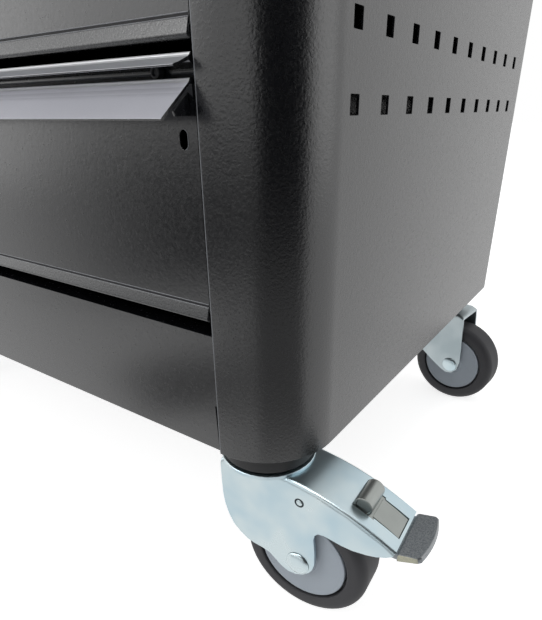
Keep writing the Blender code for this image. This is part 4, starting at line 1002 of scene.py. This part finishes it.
@dataclass
class Casters:
    """The four casters: the right ones swivel, the front right one has the brake. Sizes
    are in millimetres.

    Attributes:
        unit: Length that the fork, the pin and the tip are drawn in.
        radius: Radius of the wheels.
        half_width: Half the width of a tyre.
        shoulder: Radius of a tyre's shoulder.
        tip_wide: Half the width of the pedal's cast tip.
        tip_reach: Reach of the tip in its middle.
        tip_bow: How much less it reaches at its ends.
        tip_rise: How far its front rises, as a share of its reach.
    """

    unit: float = 46.5
    radius: float = 47.8
    half_width: float = 16.5
    shoulder: float = 7.5
    tip_wide: float = 20.5
    tip_reach: float = 17.3
    tip_bow: float = 3.2
    tip_rise: float = 0.216

    def stand(self, corner: Corner) -> Matrix:
        """Frame of a wheel: origin in the axle, X along the heading, Z up.

        Args:
            corner: Which caster.

        Returns:
            The frame in the model.
        """
        low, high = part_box(f"caster_{corner.value}_axle")
        axle = (low + high) / 2
        turn = 0.0
        if corner.swivels:
            low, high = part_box(f"caster_{corner.value}_head")
            way = axle - (low + high) / 2
            turn = math.atan2(way.y, way.x)
        return Matrix.Translation(axle) @ Matrix.Rotation(turn, 4, "Z")

    def axis(self, corner: Corner) -> Matrix:
        """Frame of a wheel with Z along its axle.

        Args:
            corner: Which caster.

        Returns:
            The frame in the model.
        """
        return self.stand(corner) @ Matrix.Rotation(-math.pi / 2, 4, "X")

    def wheel(self, corner: Corner) -> None:
        """Models the tyre with its moulded shoulder, and the disc rim in its groove.

        Args:
            corner: Which caster.
        """
        node, body, axis = f"caster_{corner.value}", f"wheel_{corner.value}", self.axis(corner)
        tyre = (
            (33.2, -11.4), (34.3, -11.6), (34.5, -12.4), (34.6, -15.6), (35.1, -16.3), (36.0, -16.5),
            (38.4, -16.5),
            *bend(self.radius - self.shoulder, self.shoulder - self.half_width, self.shoulder, -90, 0, 12),
            (self.radius, -4.5), (self.radius, -0.35), (self.radius - 0.1, 0.0),
        )
        settle(
            f"{node}_tread", turned(mirrored(tyre), 128), axis, (TYRE_RUBBER,), body,
            [f"{node}_tyre"], 50,
        )
        disc = (
            (4.3, -18.4), (11.4, -18.4), (12.0, -17.8), (12.2, -16.6), (13.2, -15.95), (29.6, -15.9),
            (29.9, -15.75), (30.2, -15.9), (32.0, -15.9), (32.6, -15.5), (32.8, -14.6), (32.8, -6.0),
        )
        settle(
            f"{node}_disc", turned(mirrored(disc), 128), axis, (RIM_PLASTIC,), body,
            [f"{node}_rim"], 40,
        )

    def axle(self, corner: Corner) -> None:
        """Models the axle with its low domed heads.

        Args:
            corner: Which caster.
        """
        head = (
            (0.0, -24.6), (3.2, -24.5), (5.8, -24.1), (7.6, -23.4), (8.5, -22.6), (8.7, -22.1), (4.0, -22.1),
        )
        node = f"caster_{corner.value}"
        body = f"fork_{corner.value}" if corner.swivels else "cabinet"
        form = turned(mirrored(head), 64)
        settle(f"{node}_rivet", form, self.axis(corner), (ZINC,), body, [f"{node}_axle"], 40)

    def pin(self) -> None:
        """Models the pedal's pin: riveted flush, with a dark ring of painted shade for the countersink on
        each cheek.
        """
        body = "fork_front_right"
        middle = Matrix.Translation((0.015 * self.unit * MM, 0, 1.16 * self.unit * MM))
        axis = self.stand(Corner.FRONT_RIGHT) @ middle @ Matrix.Rotation(-math.pi / 2, 4, "X")
        core = ((0.0, -22.35), (1.3, -22.3), (2.0, -22.1), (2.2, -21.9), (2.2, -18.0))
        settle("pedal_pin_core", turned(mirrored(core), 32), axis, (ZINC,), body, ["pedal_pin"], 40)
        ring = ((2.3, 21.7), (2.3, 21.9), (2.9, 22.02), (3.4, 21.95), (3.5, 21.7))
        for name, way in (("near", -1), ("far", 1)):
            form = turned(tuple((radius, way * height) for radius, height in ring), 32)
            settle(f"pedal_pin_shade_ring_{name}", form, axis, (COUNTERSINK_SHADE_STEEL,), body, (), 40)

    def pedal(self) -> None:
        """Models the brake pedal: its pressed plate, the rolled release tab and the cast
        tip in front of the fork's nose."""
        stand = self.stand(Corner.FRONT_RIGHT)
        side_on = stand @ Matrix(((1, 0, 0, 0), (0, 0, -1, 0), (0, 1, 0, 0), (0, 0, 0, 1)))
        tab_x, tab_z = 0.860 * self.unit, 1.292 * self.unit
        plate = (
            (-3.3, 52.1), (-3.3, 55.3), (-1.4, 57.7), (3.7, 59.3), (14.9, 60.9), (30.7, 57.4), (44.9, 51.8),
            (46.7, 54.5), (56.0, 49.8), (64.0, 45.2), (64.3, 43.9), (64.3, 41.6), (68.2, 40.4), (68.2, 37.0),
            (64.0, 37.2), (55.6, 43.2), (46.5, 47.9), (36.5, 51.9), (33.5, 52.3), (30.9, 42.7), (25.5, 45.4),
            (20.0, 47.2), (19.0, 52.9), (6.5, 50.6), (3.5, 50.3), (-1.6, 50.3),
        )
        roll = bend(tab_x, tab_z, 6.5, -62, 232, 26) + bend(tab_x, tab_z, 4.9, 232, -62, 22)
        ears = ((tab_x + 2.0, 53.0), (tab_x + 2.0, 56.0), (tab_x + 7.4, 53.6), (tab_x + 7.4, 50.2))
        core = bend(tab_x, tab_z - 0.2, 4.85, 0, 345, 23)
        tongue = ((62.4, 37.6), (62.4, 41.2), (63.0, 41.8), (68.6, 41.8), (68.6, 37.4), (63.0, 37.2))
        for name, form, finish, slot, nodes, angle in (
            ("plate", extruded(plate, 18.8, 0.3), PEDAL_PLATE, "zinc", ["brake_pedal"], 34),
            ("tab", extruded(roll, 22.0, 0.35), PEDAL_PLATE, "zinc", (), 50),
            ("ears", extruded(ears, 22.7, 0.2), PEDAL_PLATE, "zinc", (), 34),
            ("core", extruded(core, 20.4, 0.3), PEDAL_PLATE, "zinc", (), 50),
            ("tongue", extruded(tongue, 37.6, 0.4), PEDAL_METAL, "pedal_cast", (), 34),
        ):
            settle(f"brake_pedal_{name}", form, side_on, (finish,), "pedal", nodes, angle)
        self.tip(stand)

    def tip(self, stand: Matrix) -> None:
        """Models the cast tip: a curved foot plate with a shallow dish and soft rims. Its
        section changes all along it, so the sections are placed one by one and joined.

        Args:
            stand: Frame of the wheel.
        """
        back, up = 1.4345 * self.unit, 0.862 * self.unit
        shares = [-1.0, -0.985, -0.96, *(i / 10 for i in range(-9, 10)), 0.96, 0.985, 1.0]
        insets = {1.0: 0.9, 0.985: 0.35, 0.96: 0.08}
        solid = bmesh.new()
        rings = []
        for share in shares:
            inset = insets.get(abs(share), 0.0)
            reach = self.tip_reach - self.tip_bow * share * share - (1.0 if abs(share) > 0.9 else 0.0) - inset
            rise = self.tip_rise * reach
            section = (
                (0.3 + inset, -2.6 + inset), (0.3 + inset, 2.6 - inset), (0.9 + inset, 3.3 - inset),
                (1.8, 3.7 - inset), (reach - 0.9, 3.3 + rise - inset), (reach - 0.3, 3.0 + rise - inset),
                (reach, 2.4 + rise - inset), (reach + 0.3, -0.2 + rise + inset * 0.4),
                (reach - 0.2, -1.0 + rise + inset), (reach - 0.9, -1.2 + rise + inset),
            )
            y = share * self.tip_wide * MM
            rings.append([solid.verts.new(((back + x) * MM, y, (up + z) * MM)) for x, z in section])
        for one, two in zip(rings, rings[1:]):
            for i in range(len(one)):
                j = (i + 1) % len(one)
                made = solid.faces.new((one[i], one[j], two[j], two[i]))
                # Painted highlight: the front edge's faces take the shinier finish.
                made.material_index = 2 if i in (4, 5) else 0
        for ring in (rings[0], rings[-1]):
            solid.faces.new(ring)
        for face in solid.faces:
            if all(abs(corner.co.y) > 0.98 * self.tip_wide * MM for corner in face.verts):
                face.material_index = 1
        bmesh.ops.recalc_face_normals(solid, faces=solid.faces)
        form = bpy.data.meshes.new("tip_form")
        solid.to_mesh(form)
        solid.free()
        finishes = (PEDAL_METAL, CAST_SKIN, CAST_EDGE_HIGHLIGHT)
        settle("brake_pedal_foot", form, stand, finishes, "pedal", (), 28)

    def dress(self) -> None:
        """Gives the casters their finishes and fine pieces."""
        for corner in Corner:
            self.wheel(corner)
            self.axle(corner)
        dress("caster_front_right_fork", ZINC)
        dress("caster_rear_right_fork", SHADED_ZINC)
        for corner in Corner:
            if corner.swivels:
                dress(f"caster_{corner.value}_head", CAP_PLASTIC, Edge.PRESSED)
                dress(f"caster_{corner.value}_kingpin", ZINC)
            else:
                dress(f"caster_{corner.value}_bracket", ZINC, Edge.PRESSED)
        self.pin()
        self.pedal()


@dataclass
class Studio:
    """Camera, floor, dark flag and lights.

    Attributes:
        image_width: Width of the photograph in pixels.
        image_height: Its height in pixels.
        focal_px: Focal length in pixels.
        axis_px: Where the lens axis meets the picture, in pixels.
        eye_from_cabinet: The lens, from the floor under the middle of the cabinet.
        tilt: Tilt of the camera.
        roll: Its roll.
        turn: Its turn.
        sensor: Width of its sensor in millimetres.
        flag_distance: Distance of the flag from the post.
        flag_end: Last bearing of the flag in degrees, from straight ahead to the right.
        flag_steps: Number of its facets.
    """

    image_width: int = 542
    image_height: int = 620
    focal_px: float = 509.09
    axis_px: tuple[float, float] = (277.56, 349.53)
    eye_from_cabinet: Point = (0.4704, -0.4204, 0.3328)
    tilt: float = math.radians(64.902)
    roll: float = math.radians(0.5056)
    turn: float = math.radians(34.334)
    sensor: float = 36.0
    flag_distance: float = 1.7
    flag_end: float = 91.0
    flag_steps: int = 12

    def camera(self, cabinet: Vector) -> None:
        """Places the camera at the photograph's viewpoint.

        Args:
            cabinet: Point on the floor under the middle of the cabinet.
        """
        data = bpy.data.cameras.new("view")
        longest = max(self.image_width, self.image_height)
        data.sensor_width = self.sensor
        data.lens = self.sensor * self.focal_px / longest
        data.shift_x = (self.image_width / 2 - self.axis_px[0]) / longest
        data.shift_y = (self.axis_px[1] - self.image_height / 2) / longest
        data.clip_start = 0.01
        thing = bpy.data.objects.new("view", data)
        bpy.context.scene.collection.objects.link(thing)
        thing.location = cabinet + Vector(self.eye_from_cabinet)
        thing.rotation_euler = (self.tilt, self.roll, self.turn)
        bpy.context.scene.camera = thing

    def white_world(self) -> None:
        """A white surrounding for the eye and for gloss, and a plain fill for the rest."""
        world = bpy.data.worlds.new("surrounding")
        bpy.context.scene.world = world
        world.use_nodes = True
        tree = world.node_tree
        ray = add(tree, "LightPath").outputs
        seen = add(tree, "Math", {0: ray["Is Camera Ray"], 1: ray["Is Glossy Ray"]}, operation="MAXIMUM")
        shown = add(tree, "Math", {0: seen.outputs[0], 1: ray["Is Transmission Ray"]}, operation="MAXIMUM")
        strength = add(tree, "MapRange", {"Value": shown.outputs[0], "To Min": 0.55, "To Max": 1.0})
        background = tree.nodes["Background"]
        background.inputs["Color"].default_value = linear("#ffffff")
        tree.links.new(strength.outputs["Result"], background.inputs["Strength"])

    def floor(self) -> None:
        """A large pale floor that is white to the eye and keeps the shadow."""
        bpy.ops.object.select_all(action="DESELECT")
        bpy.ops.mesh.primitive_plane_add(size=30, location=(0, 0, 0))
        plane = bpy.context.object
        plane.name = "studio_floor"
        made = bpy.data.materials.new("studio_floor")
        made.use_nodes = True
        tree = made.node_tree
        shader = tree.nodes["Principled BSDF"]
        shader.inputs["Base Color"].default_value = linear("#e6e6e6")
        shader.inputs["Roughness"].default_value = 0.9
        shader.inputs["Specular IOR Level"].default_value = 0.0
        ray = add(tree, "LightPath").outputs
        seen = add(tree, "Math", {0: ray["Is Camera Ray"], 1: ray["Is Glossy Ray"]}, operation="MAXIMUM")
        strength = add(tree, "MapRange", {"Value": seen.outputs[0], "To Min": 0.0, "To Max": 0.75})
        shader.inputs["Emission Color"].default_value = linear("#ffffff")
        tree.links.new(strength.outputs["Result"], shader.inputs["Emission Strength"])
        plane.data.materials.append(made)
        plane.visible_glossy = False

    def floor_in_gloss(self, post: Vector) -> None:
        """What gloss sees of the floor: pale paper round the cart, and the darker room
        floor beyond it in front.

        Args:
            post: The corner post that faces the camera.
        """
        bpy.ops.object.select_all(action="DESELECT")
        bpy.ops.mesh.primitive_plane_add(size=60, location=(post.x, post.y, 0))
        plane = bpy.context.object
        plane.name = "studio_paper"
        made = bpy.data.materials.new("studio_paper")
        made.use_nodes = True
        tree = made.node_tree
        place = add(tree, "SeparateXYZ", {"Vector": add(tree, "TexCoord").outputs["Object"]}).outputs
        ahead = add(tree, "Math", {0: place["Y"], 1: -1.0}, operation="MULTIPLY")
        bearing = add(tree, "Math", {0: place["X"], 1: ahead.outputs[0]}, operation="ARCTAN2").outputs[0]
        flat = add(tree, "CombineXYZ", {"X": place["X"], "Y": place["Y"]})
        reach = add(tree, "VectorMath", {0: flat.outputs[0]}, operation="LENGTH").outputs["Value"]
        # Bearings from straight ahead to the right: where the dark room floor starts and
        # ends, where the cart's own shadow starts, and where the stripe in front starts.
        left, right, low, stripe = (
            add(tree, "MapRange", {
                "Value": bearing, "From Min": math.radians(first), "From Max": math.radians(last),
                "To Max": most,
            }, interpolation_type="SMOOTHSTEP").outputs["Result"]
            for first, last, most in ((-72, -44, 1.0), (96, 82, 1.0), (8, 26, 0.7), (-66, -56, 1.0))
        )
        # Distances from the post: past the near shadow's rim, into the stripe, out of it,
        # and onto the room floor.
        clear, near, gap, far = (
            add(tree, "MapRange", {
                "Value": reach, "From Min": first, "From Max": last, "To Min": start, "To Max": stop,
            }, interpolation_type="SMOOTHSTEP").outputs["Result"]
            for first, last, start, stop in (
                (0.14, 0.26, 0.0, 1.0), (0.25, 0.32, 0.0, 0.8),
                (0.40, 0.50, 1.0, 0.0), (0.60, 0.95, 0.0, 1.0),
            )
        )
        shadow = add(tree, "Math", {0: low, 1: clear}, operation="MULTIPLY")
        band = add(tree, "Math", {0: near, 1: gap}, operation="MULTIPLY")
        belt = add(tree, "Math", {0: band.outputs[0], 1: stripe}, operation="MULTIPLY")
        dim = add(tree, "Math", {0: far, 1: shadow.outputs[0]}, operation="MAXIMUM")
        room = add(tree, "Math", {0: dim.outputs[0], 1: left}, operation="MULTIPLY")
        dark = add(tree, "Math", {0: room.outputs[0], 1: belt.outputs[0]}, operation="MAXIMUM")
        shade = add(tree, "Math", {0: dark.outputs[0], 1: right}, operation="MULTIPLY")
        away = add(tree, "MapRange", {
            "Value": reach, "From Min": 1.5, "From Max": 9.0, "To Min": 0.08, "To Max": 0.5,
        })
        glow = add(tree, "MapRange", {
            "Value": shade.outputs[0], "To Min": 1.0, "To Max": away.outputs["Result"],
        })
        emission = add(tree, "Emission", {"Strength": glow.outputs["Result"]})
        tree.links.new(emission.outputs["Emission"], tree.nodes["Material Output"].inputs["Surface"])
        plane.data.materials.append(made)
        self.only_in_gloss(plane)

    def only_in_gloss(self, thing: bpy.types.Object) -> None:
        """Hides a piece of the studio from everything but gloss.

        Args:
            thing: The piece.
        """
        thing.visible_camera = False
        thing.visible_diffuse = False
        thing.visible_transmission = False
        thing.visible_shadow = False

    def dark_flag(self, post: Vector) -> None:
        """Two curved black flags behind the camera, one over the other, which only gloss
        sees. The upper one reaches further to the left.

        Args:
            post: The corner post that the flags stand round.
        """
        made = bpy.data.materials.new("studio_flag")
        made.use_nodes = True
        shader = made.node_tree.nodes["Principled BSDF"]
        shader.inputs["Base Color"].default_value = linear("#0a0a0a")
        shader.inputs["Roughness"].default_value = 1.0
        shader.inputs["Specular IOR Level"].default_value = 0.0
        far = self.flag_distance
        for name, low, high, first in (
            ("studio_flag", 0.0, 1.15, 27.0), ("studio_flag_upper", 1.15, 3.2, 4.0),
        ):
            sweep = (self.flag_end - first) / self.flag_steps
            bearings = [math.radians(first + sweep * i) for i in range(self.flag_steps + 1)]
            arc = [(post.x + far * math.sin(a), post.y - far * math.cos(a), low) for a in bearings]
            flag = drawn(arc, False)
            bpy.ops.mesh.extrude_region_move(TRANSFORM_OT_translate={"value": (0, 0, high - low)})
            bpy.ops.object.mode_set(mode="OBJECT")
            flag.name = name
            flag.data.materials.append(made)
            self.only_in_gloss(flag)

    def lamp(self, name: str, place: Point, target: Point, size: float, power: float) -> None:
        """A square soft lamp.

        Args:
            name: Name of the lamp.
            place: Where it stands.
            target: Where it points.
            size: Side of its face.
            power: Power in watts.
        """
        data = bpy.data.lights.new(name, "AREA")
        data.size = size
        data.energy = power
        thing = bpy.data.objects.new(name, data)
        bpy.context.scene.collection.objects.link(thing)
        thing.location = place
        thing.rotation_euler = (Vector(target) - Vector(place)).to_track_quat("-Z", "Y").to_euler()

    def build(self, cabinet: Vector, post: Vector) -> None:
        """Sets the whole studio.

        Args:
            cabinet: Point on the floor under the middle of the cabinet.
            post: The corner post that faces the camera.
        """
        scene = bpy.context.scene
        scene.view_settings.view_transform = "Standard"
        self.camera(cabinet)
        self.white_world()
        self.floor()
        self.dark_flag(post)
        self.floor_in_gloss(post)
        self.lamp("overhead", (0.1, -0.8, 2.6), (0, 0, 0.5), 1.2, 16)
        self.lamp("far_left", (-2.21, -1.09, 0.62), (0.2, -0.22, 0.3), 1.2, 3)
        self.lamp("left_front", (-2.12, -1.98, 1.3), (0.2, -0.22, 0.35), 1.5, 3.5)
        self.lamp("window", (-0.98, -1.72, 1.45), (0.28, -0.22, 0.36), 0.8, 7)
        self.lamp("right", (2.45, 0.8, 0.75), (0.3, -0.2, 0.35), 1.3, 4)
        log.info("set the studio")


def main() -> None:
    """Builds the looks of the cart in order."""
    logging.basicConfig(level=logging.INFO, format="%(message)s")
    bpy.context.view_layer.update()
    low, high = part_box("side_panel_right")
    left_low, _left_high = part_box("side_panel_left")
    cabinet = Vector(((left_low.x + high.x) / 2, (low.y + high.y) / 2, 0))
    post = Vector((high.x - 0.03, low.y + 0.02, 0))
    Cabinet().dress()
    DrawerStack().dress()
    CentralLock().dress()
    Casters().dress()
    Studio().build(cabinet, post)


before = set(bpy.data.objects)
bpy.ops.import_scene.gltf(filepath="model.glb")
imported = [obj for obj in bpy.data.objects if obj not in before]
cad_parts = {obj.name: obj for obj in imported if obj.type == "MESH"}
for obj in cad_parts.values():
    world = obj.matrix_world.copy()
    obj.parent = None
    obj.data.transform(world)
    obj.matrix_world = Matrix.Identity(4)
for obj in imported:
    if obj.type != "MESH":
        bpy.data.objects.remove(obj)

if __name__ == "__main__":
    main()
